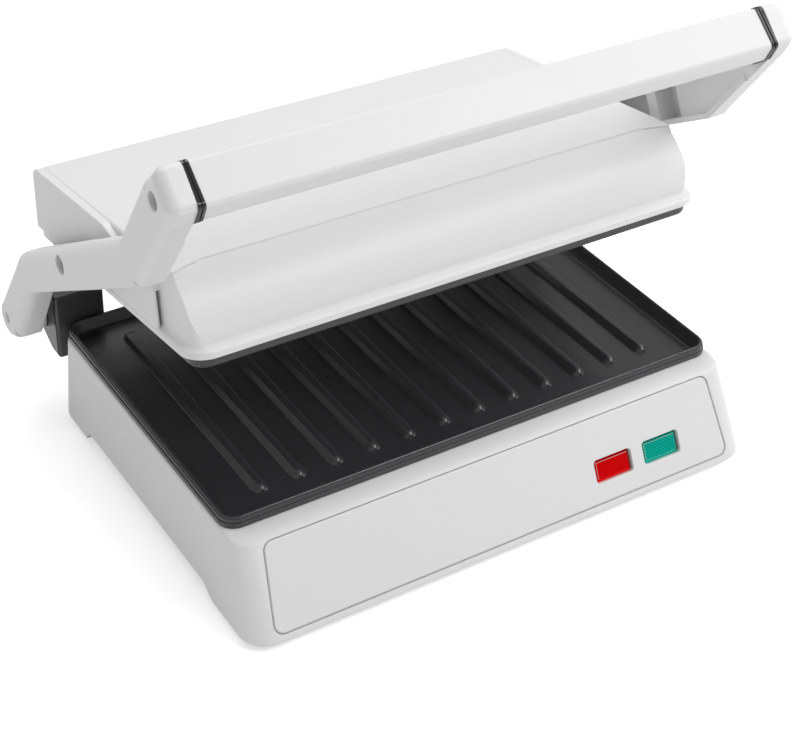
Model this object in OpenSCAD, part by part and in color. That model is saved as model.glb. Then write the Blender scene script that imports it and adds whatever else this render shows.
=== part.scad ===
// Compact contact grill: a flared base with a ribbed plate, a floating lid with a second
// plate, and a crank-armed handle. +X is to the right, +Y to the back, +Z up. The origin is
// on the table, midway between the base's front edge and the back of the hinge.

/* [Overall] */
// Depth from the base's front edge to the back of the arms' hinge
overall_d = 217; // [212:1:226]
// Width over the two arms, the widest measure of the grill
handle_w = 283; // [270:1:300]
// Angle that the arms stand open from closed
arm_open = 29.5; // [0:0.5:85]
// Tilt of the lid, front up
lid_tilt = 8.5; // [0:0.5:12]
// Gap between the two plates' rims when the grill is closed
closed_gap = 0.8; // [0.6:0.1:3]

/* [Base] */
// Height of the feet below the base's lower edge
foot_h = 2.6; // [1:0.1:4]
// Height of the deck that the lower plate stands on
deck_z = 42; // [40:0.5:50]
// Width of the deck beside the lower plate, at each side
deck_side = 0.5; // [0.2:0.1:3]
// How far each side wall leans out from the deck to the lower edge
side_lean = 4; // [2:0.5:8]
// How far the front face leans out from the deck to the lower edge
front_lean = 20.5; // [14:0.5:26]
// Width of the deck in front of the lower plate
front_shelf = 9; // [6:0.5:12]
// Wall of the base
base_wall = 2.6; // [2:0.1:3]
// Radius of the base's upright corners
base_corner_r = 12; // [10:0.5:16]
// Height of the arched cut in each side wall
arch_h = 5; // [2:0.5:6]
// Length of the arched cut
arch_len = 124; // [60:2:130]

/* [Front panel and lamps] */
// Height of the front panel along the slope
panel_h = 38; // [32:1:39]
// Width of the front face beside the panel, at each side
panel_side = 11.5; // [10:0.5:24]
// Thickness of the front panel
panel_t = 1.4; // [1:0.1:1.6]
// Groove left round the front panel
panel_groove = 0.6; // [0.3:0.1:1]
// Width of each lamp lens
lens_w = 19; // [14:0.5:22]
// Height of each lamp lens
lens_h = 9.6; // [7:0.2:12]
// Gap between the two lenses
lens_gap = 7.4; // [5:0.2:12]
// Distance of the lamp pair's middle from the panel's end
lamp_side = 44; // [36:0.5:60]

/* [Plates] */
// Distance from the lower plate's back to the back of the arms' hinge
plate_back = 29.5; // [28:0.5:36]
// Height of the plates' visible edge
plate_edge = 5; // [4:0.5:6]
// Depth of the tray below the rim
tray_depth = 6; // [4:0.5:7]
// Thickness of the plates' floor
plate_floor = 3; // [2.4:0.2:4]
// Radius of the plates' corners
plate_corner_r = 8; // [7:0.5:12]
// Ribs across each plate
rib_count = 12; // [8:1:13]
// Distance from rib to rib
rib_pitch = 17.8; // [16:0.2:18.4]
// Height of the ribs
rib_h = 2.8; // [1.5:0.1:3.4]
// Width of a rib at its foot
rib_w = 7; // [5:0.5:9]

/* [Lid] */
// Gap between the lid's lip and each arm
lid_side = 5; // [4:0.5:8]
// How far the lid's lip stands out beside the lower plate's rim
lid_over = 1; // [0.5:0.1:2]
// Height of the lid's plateau above its lip
lid_h = 32; // [29:0.5:36]
// Radius of the lid's bulged front
bulge_r = 20.5; // [18:0.5:24]
// Wall of the lid
lid_wall = 2.5; // [2:0.1:3]
// Height of the pivot above the lid's lip
pivot_h = 15.7; // [14:0.1:18]

/* [Handle] */
// Thickness of each arm
arm_t = 12; // [11:0.5:13]
// Wall of the arms
arm_wall = 2.4; // [2:0.1:2.8]
// Radius of each arm's hinge end
arm_end_r = 9; // [8.5:0.5:10]
// Thickness of the ring between grip and arm
gasket_t = 3.2; // [2:0.1:4]
// Radius of the hinge pins
hinge_pin_r = 4; // [3:0.5:4.5]
// Radius of the lid's pivot pins
lid_pin_r = 3.5; // [3:0.5:4]
// Radial clearance of a pin that turns in its bore
pin_clear = 0.06; // [0.03:0.01:0.1]

/* [Hidden] */

$fn = 64;
round_fn = 32;   // roundness of the circles that a hull joins
seat = 0.02;     // clearance of a pin or screw that is pressed or screwed home
sliver = 0.01;   // thickness of a slice in a hull
over = 1;        // overshoot of a cut past the face it leaves

// ---- places worked out from the sizes above ----
lid_w = handle_w - 2 * (arm_t + lid_side);
plate_w = lid_w - 2 * lid_over;
plate_d = overall_d - front_lean - front_shelf - plate_back;
lid_d = plate_d - 2 * lid_over;
base_top_w = plate_w + 2 * deck_side;
base_w = base_top_w + 2 * side_lean;
panel_top_w = base_top_w - 2 * panel_side;
lamp_x = panel_top_w / 2 - lamp_side;
front_y = -overall_d / 2;
hinge_y = overall_d / 2 - arm_end_r;
base_h = deck_z - foot_h;
front_rake = atan(front_lean / base_h);
slope_len = base_h / cos(front_rake);
deck_front_y = front_y + front_lean;
plate_front_y = deck_front_y + front_shelf;
plate_y = plate_front_y + plate_d / 2;
base_back_y = plate_front_y + plate_d;
rim_z = deck_z + plate_edge;
hinge_z = deck_z + 1.7;
hinge_at = [hinge_y, hinge_z];

// Base: half width, front and back at a height above the table
function base_half(z) = base_w / 2 - (base_w - base_top_w) / 2 * (z - foot_h) / base_h;
function base_front(z) = front_y + front_lean * (z - foot_h) / base_h;

// ---- general shapes ----

// A rectangle with round corners, centred in X, from y0 to y1
module round_rect(w, y0, y1, r) {
    union() {
        translate([-w / 2 + r, y0]) square([w - 2 * r, y1 - y0]);
        translate([-w / 2, y0 + r]) square([w, y1 - y0 - 2 * r]);
        for (x = [-w / 2 + r, w / 2 - r], y = [y0 + r, y1 - r]) translate([x, y]) circle(r);
    }
}

// A section swept round a rectangle with round corners; the section's x is 0 at the edge
module round_ring(w, d, r) {
    for (k = [0:3]) {
        run = (k % 2 == 0 ? w : d) - 2 * r;
        reach = (k % 2 == 0 ? d : w) / 2;
        rotate(90 * k) translate([-run / 2, reach, 0]) rotate([90, 0, 90])
            linear_extrude(run) children();
        rotate(90 * k) translate([run / 2, reach - r, 0])
            rotate_extrude(angle = 90) translate([r, 0]) children();
    }
}

// Something made for the right-hand side, and its mirror image on the left
module on_left() {
    mirror([1, 0, 0]) children();
}

// A rod along X from x0 to x1
module rod_x(r, x0, x1) {
    translate([x0, 0, 0]) rotate([0, 90, 0]) cylinder(r = r, h = x1 - x0);
}

// A pan-head screw along Z: its head's underside is at z = 0 and its shank goes up
module pan_screw(r, shank) {
    head_r = r * 1.9;
    head_h = r * 1.1;
    difference() {
        union() {
            cylinder(r = r, h = shank);
            translate([0, 0, -head_h]) cylinder(r1 = head_r * 0.8, r2 = head_r, h = head_h);
        }
        for (a = [0, 90]) rotate(a)
            translate([-r, -r * 0.2, -head_h - over]) cube([2 * r, r * 0.4, head_h * 0.6 + over]);
    }
}

// ---- base ----

base_inner_r = base_corner_r - base_wall;
deck_round = 2.6;       // rounding of the deck's outer edge
ledge_w = 2.4;          // deck that carries the plate's edge
tray_gap = 0.4;         // clearance of a plate's tray in the opening it hangs in
tray_wall = 1.6;        // wall of a plate's tray
cover_t = 2.2;          // thickness of the bottom cover
cover_z = foot_h + 1.5; // underside of the bottom cover
cover_gap = 0.4;        // clearance round the bottom cover
post_r = 4.5;
post_h = 18;
post_x = base_w / 2 - 7.2;
post_ys = [front_y + 24, base_back_y - 14];
lug_x = plate_w / 2 - 11.5;
lug_ys = [plate_y - plate_d / 2 + 17, plate_y + plate_d / 2 - 17];
lug_t = 3;
lug_z = 29;             // underside of the lugs that the plate's bosses stand on
boss_r = 4;
screw_r = 1.5;
gland_x = -58;
gland_z = 14;
gland_r = 6;

// One slice of the base's outer form, drawn in by an inset
module base_slice(z, inset, r) {
    back = base_back_y + 1.2 * (deck_z - z) / base_h;
    translate([0, 0, z]) linear_extrude(sliver)
        round_rect(2 * (base_half(z) - inset), base_front(z) + inset / cos(front_rake),
            back - inset, r);
}

module base_outer() {
    hull() {
        base_slice(foot_h, 0, base_corner_r);
        base_slice(deck_z - deck_round, 0, base_corner_r - 2);
        base_slice(deck_z - deck_round * 0.3, 0.5, base_corner_r - 2.5);
        base_slice(deck_z - sliver, 1.9, base_corner_r - 3.9);
    }
}

module base_inner() {
    hull() {
        base_slice(foot_h - over, base_wall, base_inner_r);
        base_slice(deck_z - 3, base_wall, base_inner_r - 2);
    }
}

// The slope's own frame: x to the right, y up the slope from the lower edge, z out of it
module on_slope() {
    translate([0, front_y, foot_h]) rotate([90 - front_rake, 0, 0]) children();
}

panel_top = slope_len - 2.5;
panel_base = panel_top - panel_h;
panel_r = 4;
lens_drop = 23.94;      // from the panel's upper edge down to the middle of the lenses
panel_flare = (base_w - base_top_w) / 2 / slope_len;
lens_y = panel_top - lens_drop;
lens_xs = [lamp_x - (lens_gap + lens_w) / 2, lamp_x + (lens_gap + lens_w) / 2];
bezel = 0.5;            // step round each lens
lens_recess = 1.1;      // depth of a lens's face below the panel
lens_t = 2.4;

// Outline of the front panel on the slope, widened by a margin
module panel_outline(margin) {
    hull() for (side = [-1, 1]) {
        translate([side * (panel_top_w / 2 - panel_r), panel_top - panel_r])
            circle(panel_r + margin, $fn = round_fn);
        translate([side * (panel_top_w / 2 - panel_r + panel_h * panel_flare), panel_base + panel_r])
            circle(panel_r + margin, $fn = round_fn);
    }
}

module lens_window(margin, from, to) {
    for (x = lens_xs) translate([x - lens_w / 2 - margin, lens_y - lens_h / 2 - margin, from])
        cube([lens_w + 2 * margin, lens_h + 2 * margin, to - from]);
}

// A shallow arch that lifts the middle of each side wall off the table
module side_arch() {
    rise = arch_h;
    translate([-base_w, 0, foot_h]) rotate([90, 0, 90]) linear_extrude(2 * base_w)
        translate([-base_corner_r, 0]) polygon([
            [-arch_len / 2, -over], [-arch_len / 2, 0], [-arch_len / 2 + 2 * rise, rise],
            [arch_len / 2 - 1.2 * rise, rise], [arch_len / 2, 0], [arch_len / 2, -over]
        ]);
}

module base_shell() {
    color("white") difference() {
        union() {
            difference() {
                base_outer();
                base_inner();
            }
            intersection() {
                base_outer();
                union() {
                    for (x = [-post_x, post_x], y = post_ys)
                        translate([x, y, cover_z + cover_t]) cylinder(r = post_r, h = post_h);
                    for (side = [-1, 1], y = lug_ys)
                        translate([side * (lug_x + 6) - 11, y - 6, lug_z]) cube([22, 12, lug_t]);
                }
            }
        }
        // the opening that the plate's tray hangs in
        translate([0, 0, deck_z - 8]) linear_extrude(8 + over)
            round_rect(plate_w - 2 * ledge_w, plate_front_y + ledge_w,
                plate_front_y + plate_d - ledge_w, plate_corner_r - ledge_w);
        on_slope() {
            translate([0, 0, -panel_t]) linear_extrude(panel_t + over) panel_outline(panel_groove);
            lens_window(bezel, -base_wall - 2 * over, 0);
        }
        side_arch();
        for (x = [-post_x, post_x], y = post_ys)
            translate([x, y, cover_z]) cylinder(r = screw_r + seat, h = 12);
        for (x = [-lug_x, lug_x], y = lug_ys)
            translate([x, y, lug_z - over]) cylinder(r = screw_r + seat, h = lug_t + 2 * over);
        // holes in the back wall: the lead's gland and the hinge brackets' screws
        translate([gland_x, base_back_y - 10, gland_z]) rotate([-90, 0, 0])
            cylinder(r = gland_r, h = 20);
        for (x = bracket_screw_xs, side = [-1, 1])
            translate([side * x, base_back_y - 10, bracket_screw_z]) rotate([-90, 0, 0])
                cylinder(r = screw_r + 0.3, h = 20);
    }
}

// The flat cover that closes the base from below, with rows of air slots
module base_bottom() {
    slot_w = 3;
    slot_len = 34;
    slot_pitch = 9;
    z_top = cover_z + cover_t;
    margin = base_wall + cover_gap;
    color("gainsboro") difference() {
        translate([0, 0, cover_z]) linear_extrude(cover_t)
            round_rect(2 * (base_half(z_top) - margin), base_front(z_top) + margin / cos(front_rake) + 0.2,
                base_back_y - margin + 0.6, base_inner_r - cover_gap);
        for (k = [-5:5], y = [plate_y - 32, plate_y + 32])
            translate([k * slot_pitch, y, cover_z - over]) linear_extrude(cover_t + 2 * over) {
                square([slot_w, slot_len - slot_w], center = true);
                for (s = [-1, 1]) translate([0, s * (slot_len - slot_w) / 2]) circle(slot_w / 2);
            }
        for (x = [-post_x, post_x], y = post_ys)
            translate([x, y, cover_z - over]) cylinder(r = screw_r + 0.2, h = cover_t + 2 * over);
        for (x = [-foot_x, foot_x], y = foot_ys)
            translate([x, y, cover_z - over]) cylinder(r = foot_stem_r + seat, h = cover_t + 2 * over);
    }
}

foot_r = 7;
foot_stem_r = 2.5;
foot_x = base_w / 2 - 30;
foot_ys = [front_y + 20, base_back_y - 12];

// Four rubber feet, each with a stem that snaps into the bottom cover
module rubber_feet() {
    color("dimgray") for (x = [-foot_x, foot_x], y = foot_ys) translate([x, y, 0]) {
        rotate_extrude() polygon([
            [0, 0], [foot_r - 0.8, 0], [foot_r, 0.8], [foot_r, cover_z - 0.6], [foot_r - 0.6, cover_z],
            [foot_stem_r, cover_z], [foot_stem_r, cover_z + cover_t], [foot_stem_r + 0.8, cover_z + cover_t],
            [foot_stem_r - 0.6, cover_z + cover_t + 2], [0, cover_z + cover_t + 2]
        ]);
    }
}

module base_screws() {
    color("silver") for (x = [-post_x, post_x], y = post_ys)
        translate([x, y, cover_z]) pan_screw(screw_r, 11);
}

// The inset panel across the base's front, with a stepped window for each lens
module front_panel() {
    color("whitesmoke") on_slope() difference() {
        translate([0, 0, -panel_t]) linear_extrude(panel_t) panel_outline(0);
        lens_window(bezel, -panel_t - over, over);
    }
}

// A lens: its face stands in the panel's window, its foot fills the shell's window
module lens(x) {
    on_slope() translate([x, lens_y, 0]) difference() {
        translate([-lens_w / 2 - bezel + 0.1, -lens_h / 2 - bezel + 0.1, -lens_recess - lens_t])
            cube([lens_w + 2 * bezel - 0.2, lens_h + 2 * bezel - 0.2, lens_t]);
        // a shallow step round the face
        translate([0, 0, -lens_recess - 0.4]) linear_extrude(1) difference() {
            square([2 * lens_w, 2 * lens_h], center = true);
            square([lens_w - 0.6, lens_h - 0.6], center = true);
        }
    }
}

module red_lens() {
    color("red") lens(lens_xs[0]);
}

module green_lens() {
    color("teal") lens(lens_xs[1]);
}

holder_t = 1.6;
holder_d = 11;
holder_z = -lens_recess - lens_t;
lamp_r = 2.6;
lamp_h = 6;             // a lamp's straight part above the holder's floor
lamp_lead = 3;          // length of its leads' cap behind the floor

// The holder behind the lenses: a box with a wall between the lamps and two open fronts
module lamp_holder() {
    w = 2 * lens_w + lens_gap + 2 * holder_t;
    h = lens_h + 2 * holder_t;
    color("ivory") on_slope() translate([lamp_x, lens_y, holder_z]) difference() {
        translate([-w / 2, -h / 2, -holder_d]) cube([w, h, holder_d]);
        for (x = [-1, 1]) {
            translate([x * (lens_w + lens_gap) / 2 - lens_w / 2, -lens_h / 2, -holder_d + holder_t])
                cube([lens_w, lens_h, holder_d]);
            translate([x * (lens_w + lens_gap) / 2, 0, -holder_d - over])
                cylinder(r = lamp_r - 1, h = holder_t + 2 * over);
        }
    }
}

// Two glow lamps standing in the holder
module indicator_lamps() {
    color("orange") for (x = [-1, 1])
        on_slope() translate([lamp_x + x * (lens_w + lens_gap) / 2, lens_y, holder_z - holder_d + holder_t])
            rotate_extrude() polygon(concat(
                [[0, -lamp_lead], [lamp_r - 1.2, -lamp_lead], [lamp_r - 1.2, 0], [lamp_r, 0], [lamp_r, lamp_h]],
                [for (a = [15:15:90]) [lamp_r * cos(a), lamp_h + lamp_r * sin(a)]]
            ));
}

// ---- plates ----

step_1 = 0.48;          // top of the edge's lower band, as a share of its height
step_2 = 0.85;          // top of the edge's upper band
rib_front = 16;         // from the rim's front to a rib's front end
rib_back = 15;          // from the rim's back to a rib's back end
rib_top_front = 1.6;    // width of a rib's flat top near its front
rib_top_back = 5;       // and near its back

// One level of a plate's outline, drawn in by an inset
module plate_level(w, d, z, inset, h = sliver) {
    translate([0, 0, z]) linear_extrude(h)
        round_rect(w - 2 * inset, -d / 2 + inset, d / 2 - inset, plate_corner_r - inset);
}

// The plate's stepped edge, its rounded rim and the tray with its leaning wall
module plate_body(w, d) {
    e = plate_edge;
    floor_z = e - tray_depth;
    difference() {
        union() {
            plate_level(w, d, floor_z - plate_floor, ledge_w + tray_gap, e - floor_z + plate_floor - over);
            plate_level(w, d, 0, 0, step_1 * e);
            plate_level(w, d, 0, 0.5, step_2 * e);
            hull() {
                plate_level(w, d, 1, 1);
                plate_level(w, d, e - 0.35, 1);
                plate_level(w, d, e - sliver, 1.35);
            }
        }
        hull() {
            plate_level(w, d, floor_z, ledge_w + tray_gap + tray_wall);
            plate_level(w, d, e + over, 2.1);
        }
        hull() {
            plate_level(w, d, e - 0.8, 2.8);
            plate_level(w, d, e + over, 1);
        }
    }
}

// One rib: a wedge that narrows towards the front and runs out in a rounded nose
rib_sunk = 0.5;         // depth that a rib's foot reaches into the floor
rib_nose = 5;           // length of a rib's rounded nose
// shares along the nose, of the full width and of the full height
rib_steps = [[0, 0.35, 0.15], [0.35, 0.8, 0.7], [1, 1, 1]];

function rib_ring(y, half, top_half, z) = [
    [-half, y, -rib_sunk], [-half, y, 0], [-top_half, y, z * 0.92], [-top_half * 0.6, y, z],
    [top_half * 0.6, y, z], [top_half, y, z * 0.92], [half, y, 0], [half, y, -rib_sunk]
];

module rib(rib_len) {
    front = [for (e = rib_steps)
        rib_ring(rib_nose * e[0], rib_w / 2 * e[1], rib_top_front / 2 * e[1], rib_h * e[2])];
    back = [for (k = [len(rib_steps) - 1:-1:0]) let (e = rib_steps[k])
        rib_ring(rib_len - rib_nose * e[0], rib_w / 2 * e[1], rib_top_back / 2 * e[1], rib_h * e[2])];
    rings = concat(front, back);
    n = len(rings[0]);
    last = len(rings) - 1;
    polyhedron([for (r = rings) each r], concat(
        [[for (j = [0:n - 1]) j], [for (j = [n - 1:-1:0]) last * n + j]],
        [for (i = [0:last - 1], j = [0:n - 1]) let (k = (j + 1) % n) each [
            [i * n + k, i * n + j, (i + 1) * n + j],
            [i * n + k, (i + 1) * n + j, (i + 1) * n + k]]]
    ));
}

// A grill plate centred on its origin, its edge's underside at z = 0 and its ribs upwards
module grill_plate(w, d, boss_x, boss_ys, boss_len) {
    floor_z = plate_edge - tray_depth;
    difference() {
        union() {
            plate_body(w, d);
            for (k = [0:rib_count - 1])
                translate([(k - (rib_count - 1) / 2) * rib_pitch, -d / 2 + rib_front, floor_z])
                    rib(d - rib_front - rib_back);
            for (x = [-boss_x, boss_x], y = boss_ys)
                translate([x, y, floor_z - plate_floor - boss_len]) cylinder(r = boss_r, h = boss_len + 1);
        }
        for (x = [-boss_x, boss_x], y = boss_ys)
            translate([x, y, floor_z - plate_floor - boss_len - over])
                cylinder(r = screw_r + seat, h = boss_len + over);
    }
}

lower_under_z = rim_z - tray_depth - plate_floor;
lower_boss_len = lower_under_z - lug_z - lug_t;

module lower_plate() {
    color("dimgray") translate([0, plate_y, deck_z])
        grill_plate(plate_w, plate_d, lug_x, [for (y = lug_ys) y - plate_y], lower_boss_len);
}

module lower_plate_screws() {
    color("silver") for (x = [-lug_x, lug_x], y = lug_ys)
        translate([x, y, lug_z]) pan_screw(screw_r, lug_t + lower_boss_len - 0.5);
}

element_r = 3.2;
pan_side = 23.5;        // from the plate's side to the pan's
pan_end = 20;           // from the plate's front and back to the pan's
pan_w = plate_w - 2 * pan_side;
pan_d = plate_d - 2 * pan_end;
element_end = 8;        // from the heater's bend to the pan's side
element_y = 34;
element_x = pan_w / 2 - element_y - element_end;
pan_h = 11;
pan_t = 0.8;
pan_lip = 3;

// A tubular heater under a plate: a hairpin with its two ends turned out at the left
module element() {
    tail_x = pan_w / 2 + 6;
    translate([0, 0, -element_r]) {
        for (y = [-element_y, element_y]) translate([0, y, 0]) {
            rod_x(element_r, -tail_x + 8, element_x);
            rod_x(1.2, -tail_x, -tail_x + 9);
        }
        translate([element_x, 0, 0]) rotate(-90) rotate_extrude(angle = 180)
            translate([element_y, 0]) circle(element_r);
    }
}

// The bright pan that throws the heat back, hung on the plate's underside by its rim
module reflector() {
    color("silver") difference() {
        union() {
            translate([0, 0, -pan_t]) linear_extrude(pan_t)
                round_rect(pan_w + 2 * pan_lip, -pan_d / 2 - pan_lip, pan_d / 2 + pan_lip, 6);
            translate([0, 0, -pan_h]) linear_extrude(pan_h)
                round_rect(pan_w, -pan_d / 2, pan_d / 2, 10);
        }
        translate([0, 0, -pan_h + pan_t]) linear_extrude(pan_h)
            round_rect(pan_w - 2 * pan_t, -pan_d / 2 + pan_t, pan_d / 2 - pan_t, 10 - pan_t);
        for (y = [-element_y, element_y]) translate([-pan_w / 2 - 6, y, -element_r])
            rotate([0, 90, 0]) cylinder(r = element_r + 0.3, h = 12);
    }
}

// A disc thermostat with its two flat terminals
module disc_thermostat() {
    color("tan") {
        translate([0, 0, -1.6]) cylinder(r = 9, h = 1.6);
        translate([0, 0, -7.5]) cylinder(r = 7.5, h = 6);
        for (s = [-1, 1]) translate([s * 9, 0, -6.6]) cube([7, 4.8, 0.8], center = true);
    }
}

module lower_element() {
    color("slategray") translate([0, plate_y, lower_under_z]) element();
}

module lower_reflector() {
    translate([0, plate_y, lower_under_z]) reflector();
}

module thermostat() {
    translate([0, plate_y, lower_under_z]) disc_thermostat();
}

// The thermal fuse in its sleeve, lying on the pan's floor beside the thermostat
module thermal_fuse() {
    fuse_r = 2.2;
    fuse_len = 16;
    tail = 8;
    fuse_x = 40;
    color("khaki") translate([fuse_x, plate_y, lower_under_z - pan_h + pan_t + fuse_r]) {
        rod_x(fuse_r, -fuse_len / 2, fuse_len / 2);
        rod_x(0.6, -fuse_len / 2 - tail, fuse_len / 2 + tail);
        translate([-3, -fuse_r - 2, -fuse_r]) cube([6, 2 * fuse_r + 4, 0.8]);
    }
}

// The block where the mains lead is joined, screwed to the bottom cover
module terminal_block() {
    w = 30;
    d = 17;
    h = 13;
    color("ivory") translate([gland_x, base_back_y - 32, cover_z + cover_t]) difference() {
        union() {
            translate([-w / 2, -d / 2, 0]) cube([w, d, h * 0.55]);
            for (k = [-1:1]) translate([k * 9.4 - 4, -d / 2 + 2, 0]) cube([8, d - 4, h]);
        }
        for (k = [-1:1]) {
            translate([k * 9.4, -d, h * 0.35]) rotate([-90, 0, 0]) cylinder(r = 2, h = 2 * d);
            for (y = [-4, 4]) translate([k * 9.4, y, h * 0.6]) cylinder(r = 1.6, h = h);
        }
    }
}

// The bush in the back wall where the mains lead comes in
module cable_gland() {
    hole_r = 3.6;
    wall_y = base_back_y - 5;
    color("dimgray") translate([gland_x, wall_y, gland_z]) rotate([-90, 0, 0]) rotate_extrude() polygon([
        [hole_r, 0], [gland_r + 1.6, 0], [gland_r + 1.6, 1.6], [gland_r - seat, 2.2],
        [gland_r - seat, 6.6], [gland_r + 1.8, 7.2], [gland_r + 1.4, 8.6], [hole_r + 1, 9.4], [hole_r, 9]
    ]);
}

// ---- hinge brackets ----

bracket_out_x = handle_w / 2 - arm_t - 1.5;
bracket_w = 24;
bracket_front_y = base_back_y + 0.9;
bracket_low_z = hinge_z - 14;
bracket_top_z = hinge_z + 16.3;
bracket_screw_xs = [bracket_out_x - 14.9, bracket_out_x - 20.7];
bracket_screw_z = deck_z - 7.5;
ear_r = 8.8;
arm_inner_x = handle_w / 2 - arm_t;
arm_gap = 0.6;          // side gap between an arm's bosses and what they turn on

bracket_edge = 1;       // square edge of a bracket's front face
bracket_screw_d = 8;    // depth of the holes for its screws
bracket_core = [8, 4.5]; // depth and thickness of the core cut in its inner side
bracket_skin = 3;       // wall in front of that core
bracket_cap = 3.5;      // wall over it
pin_end_x = bracket_out_x - bracket_w + 4; // blind end of the hinge pin's hole

// The black block that carries one arm: a rounded knuckle behind the plate
module bracket() {
    knuckle_r = 6.3;
    mid_y = bracket_front_y + knuckle_r + 0.4;
    color("dimgray") difference() {
        translate([bracket_out_x - bracket_w, 0, 0]) rotate([90, 0, 90]) linear_extrude(bracket_w) hull() {
            translate(hinge_at) circle(ear_r, $fn = round_fn);
            translate([mid_y, bracket_low_z + knuckle_r]) circle(knuckle_r, $fn = round_fn);
            translate([mid_y, bracket_top_z - knuckle_r]) circle(knuckle_r, $fn = round_fn);
            translate([bracket_front_y, bracket_low_z + bracket_edge])
                square([bracket_edge, bracket_top_z - bracket_low_z - 2 * bracket_edge]);
        }
        translate([0, hinge_y, hinge_z]) rod_x(hinge_pin_r + seat, pin_end_x, handle_w);
        for (x = bracket_screw_xs) translate([x, bracket_front_y - over, bracket_screw_z])
            rotate([-90, 0, 0]) cylinder(r = screw_r + seat, h = bracket_screw_d + over);
        // the inner side is cored out, as mouldings of this thickness are
        translate([bracket_out_x - bracket_w - over, bracket_front_y + bracket_skin, deck_z + 2])
            cube([bracket_core[0] + over, bracket_core[1], bracket_top_z - deck_z - 2 - bracket_cap]);
    }
}

module bracket_right() {
    bracket();
}

module bracket_left() {
    on_left() bracket();
}

module bracket_screws() {
    wall_in_y = base_back_y - base_wall - 0.2;
    color("silver") for (side = [-1, 1], x = bracket_screw_xs)
        translate([side * x, wall_in_y, bracket_screw_z]) rotate([-90, 0, 0]) pan_screw(screw_r, 9);
}

// A hinge pin: pressed into its bracket, with a slotted end in the arm's outer hole
module hinge_pin() {
    color("silver") translate([0, hinge_y, hinge_z]) difference() {
        rod_x(hinge_pin_r, pin_end_x + 0.4, handle_w / 2 - arm_wall - 0.4);
        translate([handle_w / 2 - arm_wall - 1.4, -hinge_pin_r, -0.5]) cube([2, 2 * hinge_pin_r, 1]);
    }
}

module hinge_pin_right() {
    hinge_pin();
}

module hinge_pin_left() {
    on_left() hinge_pin();
}

// ---- handle, drawn closed with the hinge at its origin: +Y back, +Z up ----

corner_r = 3.2;         // rounding of the arms' outline
knee_1 = [[-43.9, 26.6], [-43.6, 14.8]];
knee_2 = [[-172.3, 31], [-178.6, 18.6]];
tip = [[-214.8, 52.4], [-224.4, 55.3], [-228, 43.2], [-223, 39.9]];
heel = [-6.5, -6.6];
lid_pivot = [-97.4, rim_z + closed_gap + plate_edge + pivot_h - hinge_z];
grip_at = [-218.6, 47.4];
grip_r = 2.2;
grip_points = [[-223.8, 56], [-229, 42.6], [-224.3, 39.2], [-217.6, 38.5], [-214.2, 51.5]];
hinge_boss_r = 7.4;
pivot_boss_r = 6.4;
arm_ribs = [[-22, 1.6], [-66, 1.6], [-146, 6.5]]; // where each rib inside an arm starts, and its thickness
shelf_y = -157.6;       // the arm's hollow is shallow from here to its tip
shelf_depth = 3;
tip_behind = 4;         // how far the arm's solid tip reaches behind the grip
tip_y = grip_points[4][0] + grip_r + tip_behind; // the arm's tip is solid from here on
tip_seat = 1.2;         // depth that the grip's ring is let into the arm's tip
arm_span = -tip[2][0];  // an arm's whole length, for cuts

module open_arms() {
    translate([0, hinge_y, hinge_z]) rotate([-arm_open, 0, 0]) children();
}

module dots(points, r) {
    for (p = points) translate(p) circle(r, $fn = round_fn);
}

// Outline of an arm, drawn in by an inset
module arm_outline(inset) {
    r = corner_r - inset;
    hull() {
        circle(arm_end_r - inset, $fn = round_fn);
        dots([heel, knee_1[0], knee_1[1]], r);
    }
    hull() dots([knee_1[0], knee_1[1], knee_2[0], knee_2[1]], r);
    hull() dots([knee_2[0], knee_2[1], tip[0], tip[1], tip[2], tip[3]], r);
}

module along_x(x0, x1) {
    translate([x0, 0, 0]) rotate([90, 0, 90]) linear_extrude(x1 - x0) children();
}

// The right arm: a hollow crank, open to the inside, with its bosses and stiffening ribs
module arm() {
    out_x = handle_w / 2;
    skin_x = out_x - arm_wall;
    color("whitesmoke") open_arms() difference() {
        union() {
            difference() {
                along_x(arm_inner_x, out_x) arm_outline(0);
                difference() {
                    along_x(arm_inner_x - over, skin_x) difference() {
                        arm_outline(arm_wall);
                        circle(hinge_boss_r);
                        translate(lid_pivot) circle(pivot_boss_r);
                        for (r = arm_ribs) translate([r[0], -arm_end_r]) square([r[1], arm_span]);
                    }
                    translate([arm_inner_x + shelf_depth, shelf_y - arm_span, 0])
                        cube([arm_t, arm_span, arm_span]);
                    translate([arm_inner_x - 2 * over, tip_y - arm_span, 0])
                        cube([2 * arm_t, arm_span, arm_span]);
                }
                translate([arm_inner_x - over, tip_y - arm_span, 0])
                    cube([over + tip_seat, arm_span, arm_span]);
            }
            // bosses reach a little past the arm's inner side
            rod_x(hinge_boss_r, arm_inner_x - 1.5 + arm_gap, arm_inner_x + over);
        }
        rod_x(hinge_pin_r + pin_clear, arm_inner_x - 3, skin_x);
        rod_x(2.6, skin_x - over, out_x + over);
        translate([0, lid_pivot[0], lid_pivot[1]]) {
            rod_x(lid_pin_r + seat, arm_inner_x - over, out_x);
            rod_x(lid_pin_r + 0.6, out_x - 4.6, out_x + over);
        }
        translate([0, grip_at[0], grip_at[1]]) {
            rod_x(screw_r + seat, arm_inner_x - over, out_x);
            rod_x(3.6, out_x - 5, out_x + over);
        }
    }
}

module arm_right() {
    arm();
}

module arm_left() {
    on_left() arm();
}

module grip_section(grow) {
    hull() dots(grip_points, grip_r + grow);
}

grip_half = arm_inner_x + tip_seat - gasket_t;

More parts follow.
